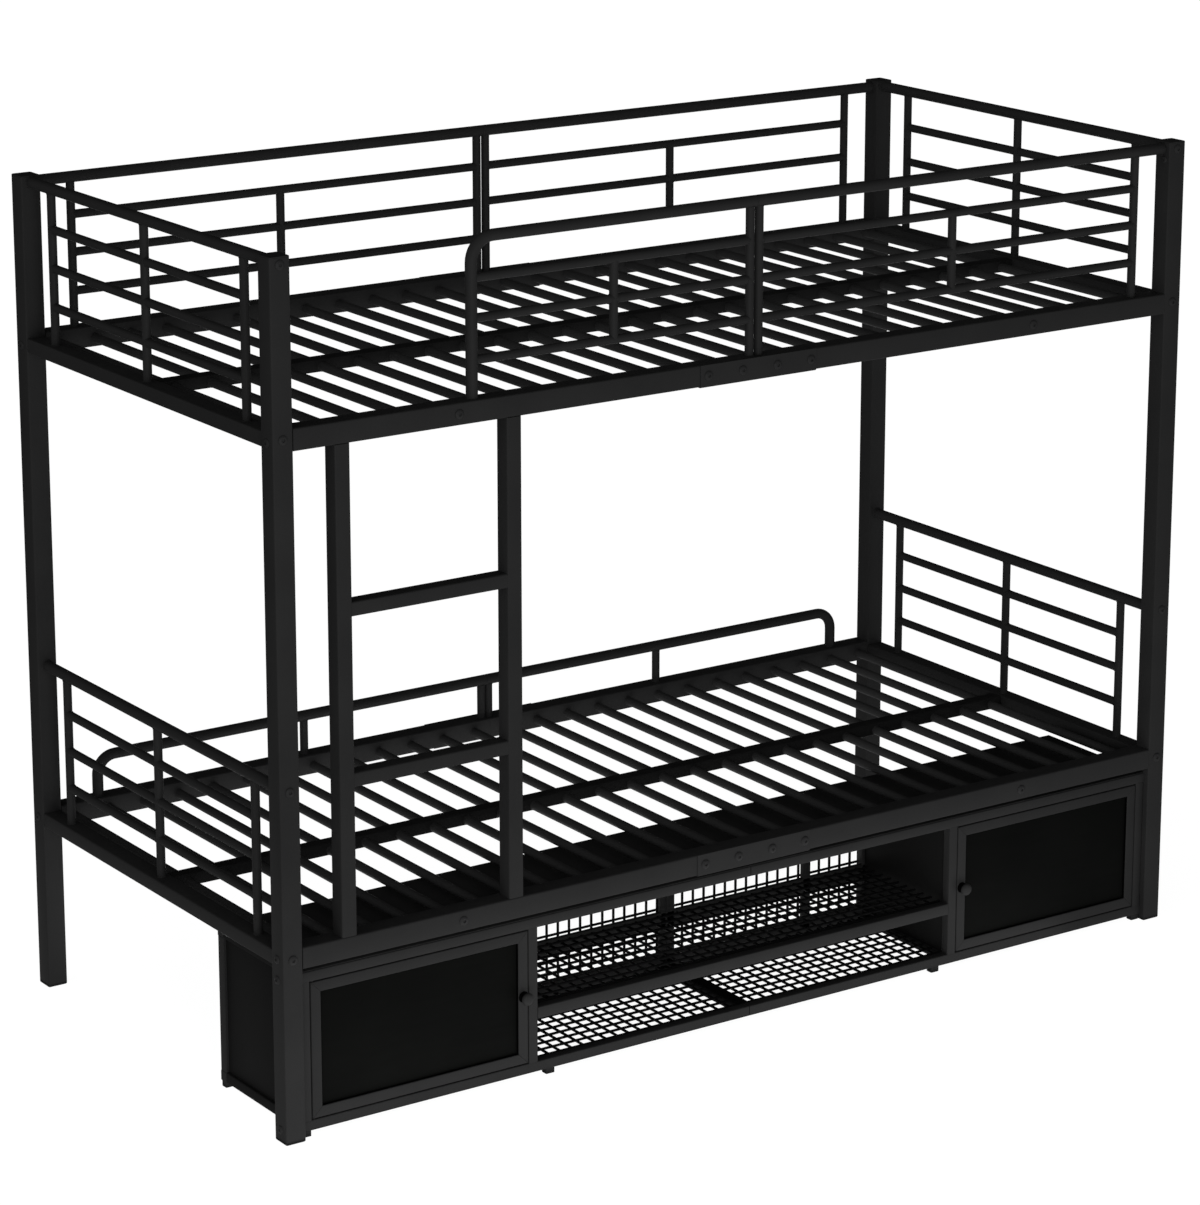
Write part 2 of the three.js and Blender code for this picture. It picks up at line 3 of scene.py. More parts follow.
import bmesh
import bpy
from mathutils import Euler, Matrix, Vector


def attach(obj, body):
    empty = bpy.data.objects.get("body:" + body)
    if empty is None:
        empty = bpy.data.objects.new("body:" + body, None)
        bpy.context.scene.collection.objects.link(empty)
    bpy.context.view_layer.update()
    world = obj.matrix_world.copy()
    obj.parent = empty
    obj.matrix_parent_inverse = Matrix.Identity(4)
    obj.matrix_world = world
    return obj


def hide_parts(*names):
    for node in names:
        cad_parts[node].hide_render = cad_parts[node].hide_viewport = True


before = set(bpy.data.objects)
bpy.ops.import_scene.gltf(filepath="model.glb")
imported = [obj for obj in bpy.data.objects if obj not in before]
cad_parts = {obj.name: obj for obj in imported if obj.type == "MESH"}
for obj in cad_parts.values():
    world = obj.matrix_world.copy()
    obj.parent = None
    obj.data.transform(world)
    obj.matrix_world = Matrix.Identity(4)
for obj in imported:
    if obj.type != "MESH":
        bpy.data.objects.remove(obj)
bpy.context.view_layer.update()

# Sizes of the bed in millimetres, as the frame has them
SHIFT_Y = 6.0                     # the bed's own middle lies this far behind the origin
X_OUT, Y_OUT, HEIGHT = 1040.0, 488.0, 1626.0
POST, POST_WALL, POST_CORNER = 41.0, 1.6, 3.0
X_IN, Y_IN = X_OUT - POST, Y_OUT - POST
POST_X, POST_Y = X_OUT - POST / 2, Y_OUT - POST / 2
RAIL_HALF = POST / 2
FIT = 0.3                         # gap between two pieces that meet
HALF_FIT = FIT / 2
SHEET = 1.2                       # thickness of the cabinet's sheets and the joint plates
HALVES = {"left": -1, "right": 1}
FACES = {"front": -1, "rear": 1}
FRAME_TUBE, BAR_TUBE = 22.0, 16.8
SHARP_FROM = 35                   # degrees between two faces from which their edge stays sharp

# Plastic ends of the posts: the rim that shows and the plug inside
FOOT_RIM, CAP_RIM = 4.0, 3.0
PLUG, PLUG_DEEP = POST - 2 * (POST_WALL + FIT), 17.0

# Side rails, and the plates over their joints
LEVELS = {"upper": 1300.8, "lower": 350.0}
JOINT_ENDS = (-136.0, 130.0)
JOINT_FOLD = 2.2                  # outer radius of the fold
JOINT_LAP = 3.0                   # how far the plate stops short of the rail's inner face
JOINT_BOLTS = (-118, -40, 40, 118)
RAIL_BOLTS = (-660, 660)

# End panels: heights over the rail's middle
PANEL_RISE, PANEL_BARS = 312.2, (235, 160.8, 86.1)
PANEL_UPRIGHT = Y_IN - 82.7
END_RAIL_X, END_RAIL_WIDE, END_RAIL_TALL, END_RAIL_DROP = 1019.0, 28.5, 38.0, 1.2

# Guards: heights over the rail's middle, places out from the bed's middle
GUARD_RISE, GUARD_BARS = 310.5, (238, 164.8, 89.2)
GUARD_END, GUARD_MEET = X_IN - 72, 10.4
ACCESS_X, ACCESS_BEND = -X_IN + 378.5, 46
LOW_GUARD_RISE, LOW_GUARD_BARS = 100.2, (437.4, 9)
LOW_GUARD_END, LOW_GUARD_BEND = X_IN - 91, 38

# Weld beads, out from the middle of the tube that a bar is welded to
BEAD_ON_BAR, BEAD_ON_FRAME, BEAD_ON_RAIL = 7.6, 9.4, 13.0

# Decks
SLATS, SLAT_PITCH, SLAT_RADIUS, SLAT_DROP = 26, 77.8, 9.0, 2.5
BEAM_WIDE, BEAM_TALL, BEAM_CORNER, BEAM_END = 30, 25, 2.5, 1000.0

# Ladder
LADDER_WIDE, LADDER_DEEP, LADDER_CORNER = 31.2, 35.0, 3.0
LADDER_GAP, LADDER_SPAN = 82.2, 388.2
LADDER_X = (-X_IN + LADDER_GAP + LADDER_WIDE / 2, -X_IN + LADDER_GAP + LADDER_SPAN - LADDER_WIDE / 2)
LADDER_Y = -Y_OUT + LADDER_DEEP / 2
RUNG_Z = (662.3, 978.0)
RUNG_DEEP, RUNG_TALL, RUNG_END = 33.0, 26.5, 14.0

# Cabinet
CAB_FRONT, CAB_REAR, CAB_SIDE = -475.0, -175.0, X_IN - FIT
CAB_TUBE, CAB_CORNER, CAB_TOP = 20.0, 2.0, 317.0
CAB_LOW_Z, CAB_HIGH_Z = 21.4, 307.0
OPEN_LOW, OPEN_HIGH = 31.4, 297.0
BAY = 490.0                       # half the width of the open bay
SEAM = 0.9                        # half the gap between the cabinet's halves
BETWEEN_FRAMES = (CAB_FRONT + CAB_TUBE + FIT, CAB_REAR - CAB_TUBE - FIT)
FOOT_WIDE, FOOT_DEEP, FOOT_TOP, FOOT_EDGE = 19.4, 16.0, CAB_LOW_Z - 9, 0.8
FOOT_IN = 29.0                    # inner feet, in from the bay's side
SIDE_SET, SIDE_LAP = 6.0, 5.0     # side sheets lie this far in, and this far over their tubes
TRAY_FLOOR = OPEN_LOW - 3
TOP_FRONT = CAB_FRONT + 2

# Shelf, and the flat bars behind the bay
SHELF_Z, SHELF_TALL, SHELF_REAR_TALL = 127.5, 23.0, 35.0
SHELF_TOP = SHELF_Z + SHELF_TALL / 2
REAR_DEEP, REAR_LOW_RISE, REAR_SUNK = 10.0, 19.0, 4.0
REAR_MIDDLE = {-1: 13.9, 1: 20.1}
REAR_OUTER, REAR_OUTER_WIDE = BAY - 142, 20.0
CROSSBAR_WIDE, CROSSBAR_TALL = 20.0, 28.0

# Mesh: on each side the first wire's place and the count, as the photograph has them
PITCH, WIRE = 26.25, 5.45
BITE = 0.5                        # crossing wires are welded this far into each other
CROSSING = WIRE - BITE
WIRE_DROP = 2.3                   # upper wires' middle under the tubes' upper face
FLOOR_WIRES = {-1: (-24.0, 18), 1: (36.6, 18)}
SHELF_WIRES = {-1: (-20.7, 18), 1: (0.45, 19)}
BACK_WIRES = {-1: (-13.8, 19), 1: (21.05, 18)}
FLOOR_FIRST_Y, SHELF_FIRST_Y, BACK_FIRST_Z, LONG_WIRES = -450.9, -446.85, 32.45, 10
FLOOR_START = 12.0                # the floor's long wires start at the crossbar

# Doors
DOOR_GAP = 1.8
DOOR_OUT, DOOR_IN = X_IN - FIT - CAB_TUBE - DOOR_GAP, BAY + CAB_TUBE + DOOR_GAP
DOOR_LOW, DOOR_HIGH = OPEN_LOW + DOOR_GAP, OPEN_HIGH - DOOR_GAP
DOOR_MEMBER, DOOR_DEEP, DOOR_CORNER = 21.0, 20.0, 1.8
DOOR_FACE = CAB_FRONT + 6         # the panel is set back this far
DOOR_SHEET = 1.5
# Near-black strips on the frame's inner faces: painted shade for the shadow in the gap round the panel
PAINTED_SHADE_STRIP, PAINTED_SHADE_STRIP_FRONT, PAINTED_SHADE_STRIP_BACK = 0.8, CAB_FRONT + 1.5, DOOR_FACE + 0.2
PIN_IN, PIN_BACK, PIN_RADIUS, PIN_SUNK = 5.0, 4.2, 2.0, 7.0
KNOB_RISE = 3.0                   # knob over the door's middle
KNOB = [(4.4, 4.5), (4.4, 9), (5.4, 10.6), (8.8, 11.4), (10.8, 11.9), (11.8, 12.8), (12.2, 14.4),
        (12.1, 15.8), (11.4, 17.6), (10.0, 19.2), (7.8, 20.4), (4.8, 21.2), (2.0, 21.4)]
# Ring under the knob: a real spacer, made wide and near-black as painted shade for the knob's shadow on the
# door
KNOB_SHADE_RING = [(10.2, 0), (10.6, 0.4), (10.4, 1.2), (9.6, 1.6), (5.6, 1.8), (5.2, 2.6), (5.0, 7.5)]

# Bolts: heights on the posts' long faces and on their end faces
LONG_FACE_BOLTS, FRONT_ONLY = (1611, 1303, 665, 351), 665
END_FACE_BOLTS, BOTH_ABOVE = (1297, 351, 312, 25), 340
INNER_BOLT = (X_IN, -473, 1590)
BOLT_HEAD = [(9.2, 0), (9.2, 0.7), (8.9, 1.2), (8.0, 2.0), (6.6, 2.7), (5.0, 3.1),
             (3.3, 3.3), (3.0, 3.2), (2.9, 1.6), (0.4, 1.2)]
SOCKET_FROM = 6                   # the head's rings from here on are the hexagon socket

# One soft lamp in front on the left, and panels of light that lie on the floor:
# name, place and size in metres, watts, the point aimed at
LAMPS = [
    ("soft_left", (-1.8, -3.6, 1.1), (1.4, 1.4), 56, (-0.3, 0, 0.7)),
    ("floor_front", (-0.3, -0.862, 0.004), (2.2, 0.756), 9, (-0.3, -0.862, 1)),
    ("floor_wide", (0, 0, 0.004), (3.6, 2.6), 16, (0, 0, 1)),
    ("floor_under", (-0.3, 0.1, 0.004), (1.3, 0.5), 7, (-0.3, 0.1, 1)),
]

# Camera, in pixels and metres
PICTURE_TALL = 1205
FOCAL, LENS_RISE = 4122.8, -140.0
CAMERA_AT = (-4.4466, -6.4849 + SHIFT_Y / 1000, 3.0084)
CAMERA_DOWN, CAMERA_TURN = 14.215, -34.279


def at(x, y, z):
    """A point of the bed, in the scene's metres."""
    return Vector((x, y + SHIFT_Y, z)) / 1000


# Node graphs
class Value:
    """A socket of a graph; sums, differences and products on it add Math nodes."""

    def __init__(self, graph, socket):
        self.graph = graph
        self.socket = socket

    def math(self, operation, first, second):
        return self.graph.add("ShaderNodeMath", {"operation": operation}, {0: first, 1: second})

    def __add__(self, other):
        return self.math("ADD", self, other)

    def __radd__(self, other):
        return self.math("ADD", other, self)

    def __sub__(self, other):
        return self.math("SUBTRACT", self, other)

    def __rsub__(self, other):
        return self.math("SUBTRACT", other, self)

    def __mul__(self, other):
        return self.math("MULTIPLY", self, other)

    def __rmul__(self, other):
        return self.math("MULTIPLY", other, self)


class Graph:
    """A shader or geometry graph that is built one node at a time."""

    def __init__(self, tree):
        self.tree = tree

    def add(self, kind, settings=None, sockets=None, out=0):
        node = self.tree.nodes.new(kind)
        for name, setting in (settings or {}).items():
            setattr(node, name, setting)
        for key, content in (sockets or {}).items():
            contents = content if isinstance(content, list) else [content]
            for item in contents:
                if isinstance(item, Value):
                    self.tree.links.new(item.socket, node.inputs[key])
                else:
                    node.inputs[key].default_value = item
        return Value(self, node.outputs[out]) if len(node.outputs) else node

    def other(self, value, out):
        """Another output of the node that a value comes from."""
        return Value(self, value.socket.node.outputs[out])


def finish_material(name, build):
    material = bpy.data.materials.new(name)
    material.use_nodes = True
    graph = Graph(material.node_tree)
    graph.surface = material.node_tree.nodes["Principled BSDF"]
    graph.place = graph.add("ShaderNodeTexCoord", out="Object")
    build(graph)
    return material


def feed(graph, **sockets):
    """Sets or links the surface's own sockets."""
    for name, content in sockets.items():
        socket = graph.surface.inputs[name.replace("_", " ")]
        if isinstance(content, Value):
            graph.tree.links.new(content.socket, socket)
        else:
            socket.default_value = content


def noise(graph, scale, detail=2.0, rough=0.5, where=None):
    return graph.add("ShaderNodeTexNoise", {"noise_dimensions": "3D"}, {
        "Vector": where or graph.place, "Scale": scale, "Detail": detail, "Roughness": rough})


def tone(graph, factor, dark, light):
    return graph.add("ShaderNodeMix", {"data_type": "RGBA"}, {
        "Factor": factor, "A": (*dark, 1), "B": (*light, 1)}, out=2)


def ramp(graph, factor, low, high, first=0.0, last=1.0):
    return graph.add("ShaderNodeMapRange", {"clamp": True}, {
        "Value": factor, "From Min": low, "From Max": high, "To Min": first, "To Max": last})


def bump(graph, height, distance, strength):
    return graph.add("ShaderNodeBump", None, {
        "Height": height, "Distance": distance, "Strength": strength})


def powder(dark, light, rough, peel=1.0, gloss=0.02):
    """Baked powder paint: orange peel, faint clouds and settled dust where a face looks up."""
    def build(graph):
        clouds = noise(graph, 9, 3)
        grain = noise(graph, 420, 2)
        peel_wave = noise(graph, 650, 1, 0.4)
        fine = noise(graph, 2400, 1, 0.5)
        facing = graph.add("ShaderNodeNewGeometry", out="Normal")
        up = graph.add("ShaderNodeSeparateXYZ", None, {0: facing}, out="Z")
        dust = ramp(graph, up, 0.6, 1.0) * ramp(graph, noise(graph, 30, 4), 0.42, 0.7) * 0.08
        shade = ramp(graph, clouds * 0.7 + grain * 0.3, 0.34, 0.66)
        coat = tone(graph, shade, dark, light)
        feed(graph, Base_Color=graph.add("ShaderNodeMix", {"data_type": "RGBA"}, {
            "Factor": dust, "A": coat, "B": (0.03, 0.029, 0.027, 1)}, out=2))
        feed(graph, Roughness=ramp(graph, clouds + grain * 0.4, 0.45, 0.95, rough - 0.06, rough + 0.07))
        feed(graph, Metallic=0.0, Specular_IOR_Level=gloss)
        feed(graph, Normal=bump(graph, peel_wave + fine * 0.25, 0.00006 * peel, 0.5))
    return build


def matte_sheet(graph):
    """Thin sheet with a dry matte coat, a little uneven from rolling."""
    clouds = noise(graph, 5, 3)
    grain = noise(graph, 1500, 2)
    long = graph.add("ShaderNodeMapping", None, {"Vector": graph.place, "Scale": (1, 1, 9)})
    rolled = noise(graph, 14, 3, 0.6, long)
    coat = tone(graph, ramp(graph, clouds * 0.6 + grain * 0.4, 0.35, 0.65), (0.0015, 0.0016, 0.0015),
                (0.0022, 0.0023, 0.0021))
    feed(graph, Base_Color=coat, Metallic=0.0, Specular_IOR_Level=0.01)
    feed(graph, Roughness=ramp(graph, rolled + grain * 0.3, 0.4, 0.9, 0.66, 0.8))
    feed(graph, Normal=bump(graph, grain * 0.2 + rolled, 0.00008, 0.4))


def wire_coat(graph):
    """Thick dip coat on the thin wires."""
    drops = noise(graph, 260, 2)
    coat = tone(graph, ramp(graph, drops, 0.35, 0.65), (0.0018, 0.0018, 0.0019), (0.0030, 0.0030, 0.0031))
    feed(graph, Base_Color=coat, Metallic=0.0, Specular_IOR_Level=0.02)
    feed(graph, Roughness=ramp(graph, drops, 0.3, 0.7, 0.48, 0.62))
    feed(graph, Normal=bump(graph, drops, 0.00015, 0.4))


def moulded_plastic(graph):
    """Moulded black plastic with a fine spark texture."""
    pits = graph.add("ShaderNodeTexVoronoi", {"feature": "F1"}, {"Vector": graph.place, "Scale": 1400})
    clouds = noise(graph, 40, 3)
    coat = tone(graph, ramp(graph, clouds, 0.35, 0.65), (0.0082, 0.0082, 0.0083), (0.0106, 0.0106, 0.0107))
    feed(graph, Base_Color=coat, Metallic=0.0, Specular_IOR_Level=0.03)
    feed(graph, Roughness=ramp(graph, clouds + pits * 0.3, 0.4, 0.9, 0.5, 0.64))
    feed(graph, Normal=bump(graph, pits, 0.00005, 0.45))


def bolt_black(graph):
    """Blackened steel of the bolts, a little brighter than the paint."""
    turned = noise(graph, 900, 2)
    coat = tone(graph, ramp(graph, turned, 0.35, 0.65), (0.0092, 0.0092, 0.0093), (0.0122, 0.0122, 0.0123))
    feed(graph, Base_Color=coat, Metallic=0.0, Specular_IOR_Level=0.03)
    feed(graph, Roughness=ramp(graph, turned, 0.3, 0.7, 0.42, 0.54))
    feed(graph, Normal=bump(graph, turned, 0.00004, 0.4))


FINISH = {
    "frame_coat": finish_material("black_powder_coat", powder(
        (0.0098, 0.0098, 0.0099), (0.0117, 0.0117, 0.0117), 0.5)),
    # Painted light: a lighter copy of the frame's coat on the slats, for the light their tops catch
    "slat_coat": finish_material("slat_painted_light_coat", powder(
        (0.0135, 0.0135, 0.0136), (0.0162, 0.0162, 0.0162), 0.52)),
    # Painted shade: a darker copy of the frame's coat on the centre beam, for the shade between the slats
    "beam_painted_shade": finish_material("beam_painted_shade_coat", powder(
        (0.0052, 0.0052, 0.0052), (0.0070, 0.0070, 0.0070), 0.55)),
    "sheet_coat": finish_material("sheet_powder_coat", powder(
        (0.0050, 0.0050, 0.0050), (0.0062, 0.0062, 0.0061), 0.56, 1.3, 0.01)),
    # Painted light and shade: the cabinet top gets its own copy of the sheet coat, toned to how it shows in
    # the shade under the slats
    "top_painted_shade": finish_material("cabinet_top_painted_shade", powder(
        (0.0120, 0.0120, 0.0120), (0.0155, 0.0155, 0.0154), 0.6, 1.3, 0.01)),
    # Near-black painted shade, for the strips in the doors' frames and the ring under the knobs
    "painted_shade": finish_material("painted_shade_black", powder(
        (0.0005, 0.0005, 0.0005), (0.0008, 0.0008, 0.0008), 0.8, 1.0, 0.0)),
    "panel_coat": finish_material("matte_panel_coat", matte_sheet),
    "wire_coat": finish_material("dipped_wire_coat", wire_coat),
    "black_plastic": finish_material("moulded_black_plastic", moulded_plastic),
    "bolt": finish_material("blackened_steel", bolt_black),
}


# Forms
AXES = {
    "x": (Vector((0, 1, 0)), Vector((0, 0, 1)), Vector((1, 0, 0))),
    "y": (Vector((0, 0, 1)), Vector((1, 0, 0)), Vector((0, 1, 0))),
    "z": (Vector((1, 0, 0)), Vector((0, 1, 0)), Vector((0, 0, 1))),
}


def rounded_loop(wide, tall, corner, steps=4):
    """Corner points of a rounded rectangle about the origin."""
    points = []
    for quarter, (sx, sy) in enumerate([(1, 1), (-1, 1), (-1, -1), (1, -1)]):
        for i in range(steps + 1):
            angle = pi / 2 * (quarter + i / steps)
            points.append((sx * (wide / 2 - corner) + corner * cos(angle),
                           sy * (tall / 2 - corner) + corner * sin(angle)))
    return points


class Form:
    """The closed shapes of one piece, given in the bed's millimetres."""

    def __init__(self):
        self.bm = bmesh.new()

    def vert(self, point):
        return self.bm.verts.new(at(*point))

    def rings(self, loops, closed=False):
        """Joins rings of points with faces, and closes both ends unless the rings come round."""
        made = [[self.vert(p) for p in loop] for loop in loops]
        pairs = list(zip(made, made[1:]))
        if closed:
            pairs.append((made[-1], made[0]))
        for low, high in pairs:
            for i in range(len(low)):
                j = (i + 1) % len(low)
                self.bm.faces.new((low[i], low[j], high[j], high[i]))
        if not closed:
            self.bm.faces.new(reversed(made[0]))
            self.bm.faces.new(made[-1])

    def bar(self, axis, low, high, a, b, wide, tall, corner, wall=0.0, steps=4, edge=0.0):
        """A rounded rectangular bar or tube along an axis, its section centred on (a, b)."""
        u, v, w = AXES[axis]

        def ring(shrink, along):
            loop = rounded_loop(wide - 2 * shrink, tall - 2 * shrink, max(corner - shrink, 0.4), steps)
            return [u * (a + p) + v * (b + q) + w * along for p, q in loop]
        if wall:
            self.rings([ring(0, low), ring(0, high), ring(wall, high), ring(wall, low)], closed=True)
        elif edge:
            self.rings([ring(edge, low), ring(0.3 * edge, low + 0.3 * edge), ring(0, low + edge),
                        ring(0, high - edge), ring(0.3 * edge, high - 0.3 * edge), ring(edge, high)])
        else:
            self.rings([ring(0, low), ring(0, high)])

    def plate(self, x, y, z, edge=0.3):
        """A flat sheet between two corners, its edges broken."""
        verts = [self.vert((i, j, k)) for i in sorted(x) for j in sorted(y) for k in sorted(z)]
        faces = [(0, 1, 3, 2), (4, 6, 7, 5), (0, 4, 5, 1), (2, 3, 7, 6), (0, 2, 6, 4), (1, 5, 7, 3)]
        made = [self.bm.faces.new([verts[i] for i in f]) for f in faces]
        edges = list({e for f in made for e in f.edges})
        bmesh.ops.bevel(self.bm, geom=edges, offset=edge / 1000, segments=2, profile=0.5, affect="EDGES")

    def turned(self, profile, axis, centre, sign=1, sides=32):
        """A shape turned about an axis through a point; the profile gives (radius, height)."""
        u, v, w = AXES[axis]
        centre = Vector(centre)
        loops = []
        angles = [2 * pi * i / sides for i in range(sides)]
        for radius, height in profile:
            loops.append([centre + w * sign * height + (u * cos(a) + v * sin(a)) * radius for a in angles])
        self.rings(loops)

    def stack(self, x, y, levels):
        """Rounded squares (height, width, corner) stood on each other."""
        self.rings([[Vector((x + p, y + q, z)) for p, q in rounded_loop(wide, wide, round_by)]
                    for z, wide, round_by in levels])

    def mitred(self, corners, deep, wide, round_by, joint=0.3):
        """Bars round a closed flat ring of corners in the XZ plane, cut at 45 degrees where they meet."""
        count = len(corners)
        for i in range(count):
            start, end = Vector(corners[i]), Vector(corners[(i + 1) % count])
            along = (end - start).normalized()
            inward = Vector((-along.z, 0, along.x))
            outline = rounded_loop(wide, deep, round_by, 4)
            loops = []
            for point, sign in ((start, 1), (end, -1)):
                ring = []
                for p, q in outline:
                    offset = p + wide / 2
                    ring.append(point + inward * offset + along * sign * (offset + joint) + Vector((0, q, 0)))
                loops.append(ring)
            self.rings(loops)

    def take(self, mesh):
        self.bm.from_mesh(mesh)
        bpy.data.meshes.remove(mesh)

    def piece(self, name, slot, body="bed", nodes=(), finish=None):
        """Turns the shapes into one finished object that rides on a body."""
        bmesh.ops.recalc_face_normals(self.bm, faces=self.bm.faces[:])
        for face in self.bm.faces:
            face.smooth = True
            face.material_index = 0
        mesh = bpy.data.meshes.new(name)
        self.bm.to_mesh(mesh)
        self.bm.free()
        mesh.materials.clear()
        mesh.materials.append(FINISH[finish or slot])
        mesh.set_sharp_from_angle(angle=radians(SHARP_FROM))
        made = bpy.data.objects.new(name, mesh)
        bpy.context.scene.collection.objects.link(made)
        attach(made, body)
        if nodes:
            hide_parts(*nodes)


# Trees for what repeats or follows a path
def new_tree(name, inputs):
    tree = bpy.data.node_groups.new(name, "GeometryNodeTree")
    tree.is_modifier = True
    tree.interface.new_socket(name="Geometry", in_out="INPUT", socket_type="NodeSocketGeometry")
    for label, kind in inputs:
        tree.interface.new_socket(name=label, in_out="INPUT", socket_type="NodeSocket" + kind)
    tree.interface.new_socket(name="Geometry", in_out="OUTPUT", socket_type="NodeSocketGeometry")
    graph = Graph(tree)
    graph.given = graph.add("NodeGroupInput")
    return graph


def close_tree(graph, geometry):
    """Every tree ends with real geometry in its own material."""
    whole = graph.add("GeometryNodeRealizeInstances", None, {"Geometry": geometry})
    coated = graph.add("GeometryNodeSetMaterial", None, {
        "Geometry": whole, "Material": graph.other(graph.given, "Material")})
    graph.add("NodeGroupOutput", None, {0: coated})
    return graph.tree


def tube_run_tree():
    """Round tubes along the edges of a mesh, with bends where the points ask for them."""
    graph = new_tree("tube_run", [("Sides", "Int"), ("Bend steps", "Int"), ("Material", "Material")])
    bore = graph.add("GeometryNodeInputNamedAttribute", {"data_type": "FLOAT"}, {"Name": "bore"})
    bend = graph.add("GeometryNodeInputNamedAttribute", {"data_type": "FLOAT"}, {"Name": "bend"})
    line = graph.add("GeometryNodeMeshToCurve", None, {"Mesh": graph.other(graph.given, "Geometry")})
    bent = graph.add("GeometryNodeFilletCurve", {"mode": "POLY"}, {
        "Curve": line, "Count": graph.other(graph.given, "Bend steps"), "Radius": bend})
    circle = graph.add("GeometryNodeCurvePrimitiveCircle", {"mode": "RADIUS"}, {
        "Resolution": graph.other(graph.given, "Sides"), "Radius": 1.0})
    tube = graph.add("GeometryNodeCurveToMesh", None, {
        "Curve": bent, "Profile Curve": circle, "Scale": bore, "Fill Caps": True})
    return close_tree(graph, tube)


def row_tree():
    """Copies of one straight round bar at an even pitch."""
    graph = new_tree("bar_row", [
        ("Count", "Int"), ("First", "Vector"), ("Step", "Vector"), ("Half length", "Vector"),
        ("Radius", "Float"), ("Sides", "Int"), ("Material", "Material")])

    def given(name):
        return graph.other(graph.given, name)
    points = graph.add("GeometryNodeMeshLine", {"mode": "OFFSET"}, {
        "Count": given("Count"), "Start Location": given("First"), "Offset": given("Step")})
    back = graph.add("ShaderNodeVectorMath", {"operation": "SCALE"}, {0: given("Half length"), "Scale": -1.0})
    line = graph.add("GeometryNodeCurvePrimitiveLine", {"mode": "POINTS"}, {
        "Start": back, "End": given("Half length")})
    circle = graph.add("GeometryNodeCurvePrimitiveCircle", {"mode": "RADIUS"}, {
        "Resolution": given("Sides"), "Radius": given("Radius")})
    bar = graph.add("GeometryNodeCurveToMesh", None, {
        "Curve": line, "Profile Curve": circle, "Fill Caps": True})
    row = graph.add("GeometryNodeInstanceOnPoints", None, {"Points": points, "Instance": bar})
    whole = graph.add("GeometryNodeJoinGeometry", None, {"Geometry": [row, given("Geometry")]})
    return close_tree(graph, whole)


def scatter_tree():
    """Copies of a small form at points, each turned to face its own way and a little about it."""
    graph = new_tree("scatter", [("Form", "Object"), ("Seed", "Int"), ("Material", "Material")])
    form = graph.add("GeometryNodeObjectInfo", {"transform_space": "ORIGINAL"}, {
        "Object": graph.other(graph.given, "Form")}, out="Geometry")
    facing = graph.add("GeometryNodeInputNamedAttribute", {"data_type": "FLOAT_VECTOR"}, {"Name": "facing"})
    girth = graph.add("GeometryNodeInputNamedAttribute", {"data_type": "FLOAT"}, {"Name": "girth"})
    spin = graph.add("FunctionNodeRandomValue", {"data_type": "FLOAT"}, {
        2: 0.0, 3: 2 * pi, "Seed": graph.other(graph.given, "Seed")}, out=1)
    own_turn = graph.add("ShaderNodeCombineXYZ", None, {"Z": spin})
    first = graph.add("FunctionNodeEulerToRotation", None, {0: own_turn})
    turned = graph.add("FunctionNodeAlignRotationToVector", {"axis": "Z"}, {
        "Rotation": first, "Vector": facing})
    set_out = graph.add("GeometryNodeInstanceOnPoints", None, {
        "Points": graph.other(graph.given, "Geometry"), "Instance": form, "Rotation": turned, "Scale": girth})
    return close_tree(graph, set_out)


TREES = {"tube_run": tube_run_tree(), "bar_row": row_tree(), "scatter": scatter_tree()}


def grown(tree_name, mesh, values):
    """Runs a tree over a mesh and gives back the plain mesh that it makes."""
    tree = TREES[tree_name]
    seed_object = bpy.data.objects.new("growing", mesh)
    bpy.context.scene.collection.objects.link(seed_object)
    modifier = seed_object.modifiers.new("grow", "NODES")
    modifier.node_group = tree
    for item in tree.interface.items_tree:
        if item.item_type == "SOCKET" and item.in_out == "INPUT" and item.name in values:
            modifier[item.identifier] = values[item.name]
    seed_object.update_tag()
    depsgraph = bpy.context.evaluated_depsgraph_get()
    depsgraph.update()
    plain = bpy.data.meshes.new_from_object(seed_object.evaluated_get(depsgraph))
    seed_object.modifiers.remove(modifier)
    bpy.data.objects.remove(seed_object)
    bpy.data.meshes.remove(mesh)
    return plain


def tubes(runs, slot, sides=24, bend_steps=10):
    """Tubes along runs of points; each run is (diameter, points, bend radius)."""
    verts, edges, bore, bend = [], [], [], []
    for diameter, points, radius in runs:
        base = len(verts)
        verts += [at(*p) for p in points]
        edges += [(base + i, base + i + 1) for i in range(len(points) - 1)]
        bore += [diameter / 2000] * len(points)
        bend += [radius / 1000] * len(points)
    mesh = bpy.data.meshes.new("paths")
    mesh.from_pydata(verts, edges, [])
    for name, content in (("bore", bore), ("bend", bend)):
        mesh.attributes.new(name, "FLOAT", "POINT").data.foreach_set("value", content)
    return grown("tube_run", mesh, {"Sides": sides, "Bend steps": bend_steps, "Material": FINISH[slot]})


def bar_row(count, first, step, half, radius, slot, sides=20):
    mesh = bpy.data.meshes.new("none")
    return grown("bar_row", mesh, {
        "Count": count, "First": at(*first), "Step": Vector(step) / 1000, "Half length": Vector(half) / 1000,
        "Radius": radius / 1000, "Sides": sides, "Material": FINISH[slot]})


def scattered(form, places, slot, seed):
    """Copies of a form at places; each place is (point, direction, scale)."""
    mesh = bpy.data.meshes.new("places")
    mesh.from_pydata([at(*p) for p, _, _ in places], [], [])
    facing = mesh.attributes.new("facing", "FLOAT_VECTOR", "POINT")
    facing.data.foreach_set("vector", [c for _, way, _ in places for c in way])
    mesh.attributes.new("girth", "FLOAT", "POINT").data.foreach_set("value", [g for _, _, g in places])
    return grown("scatter", mesh, {"Form": form, "Seed": seed, "Material": FINISH[slot]})


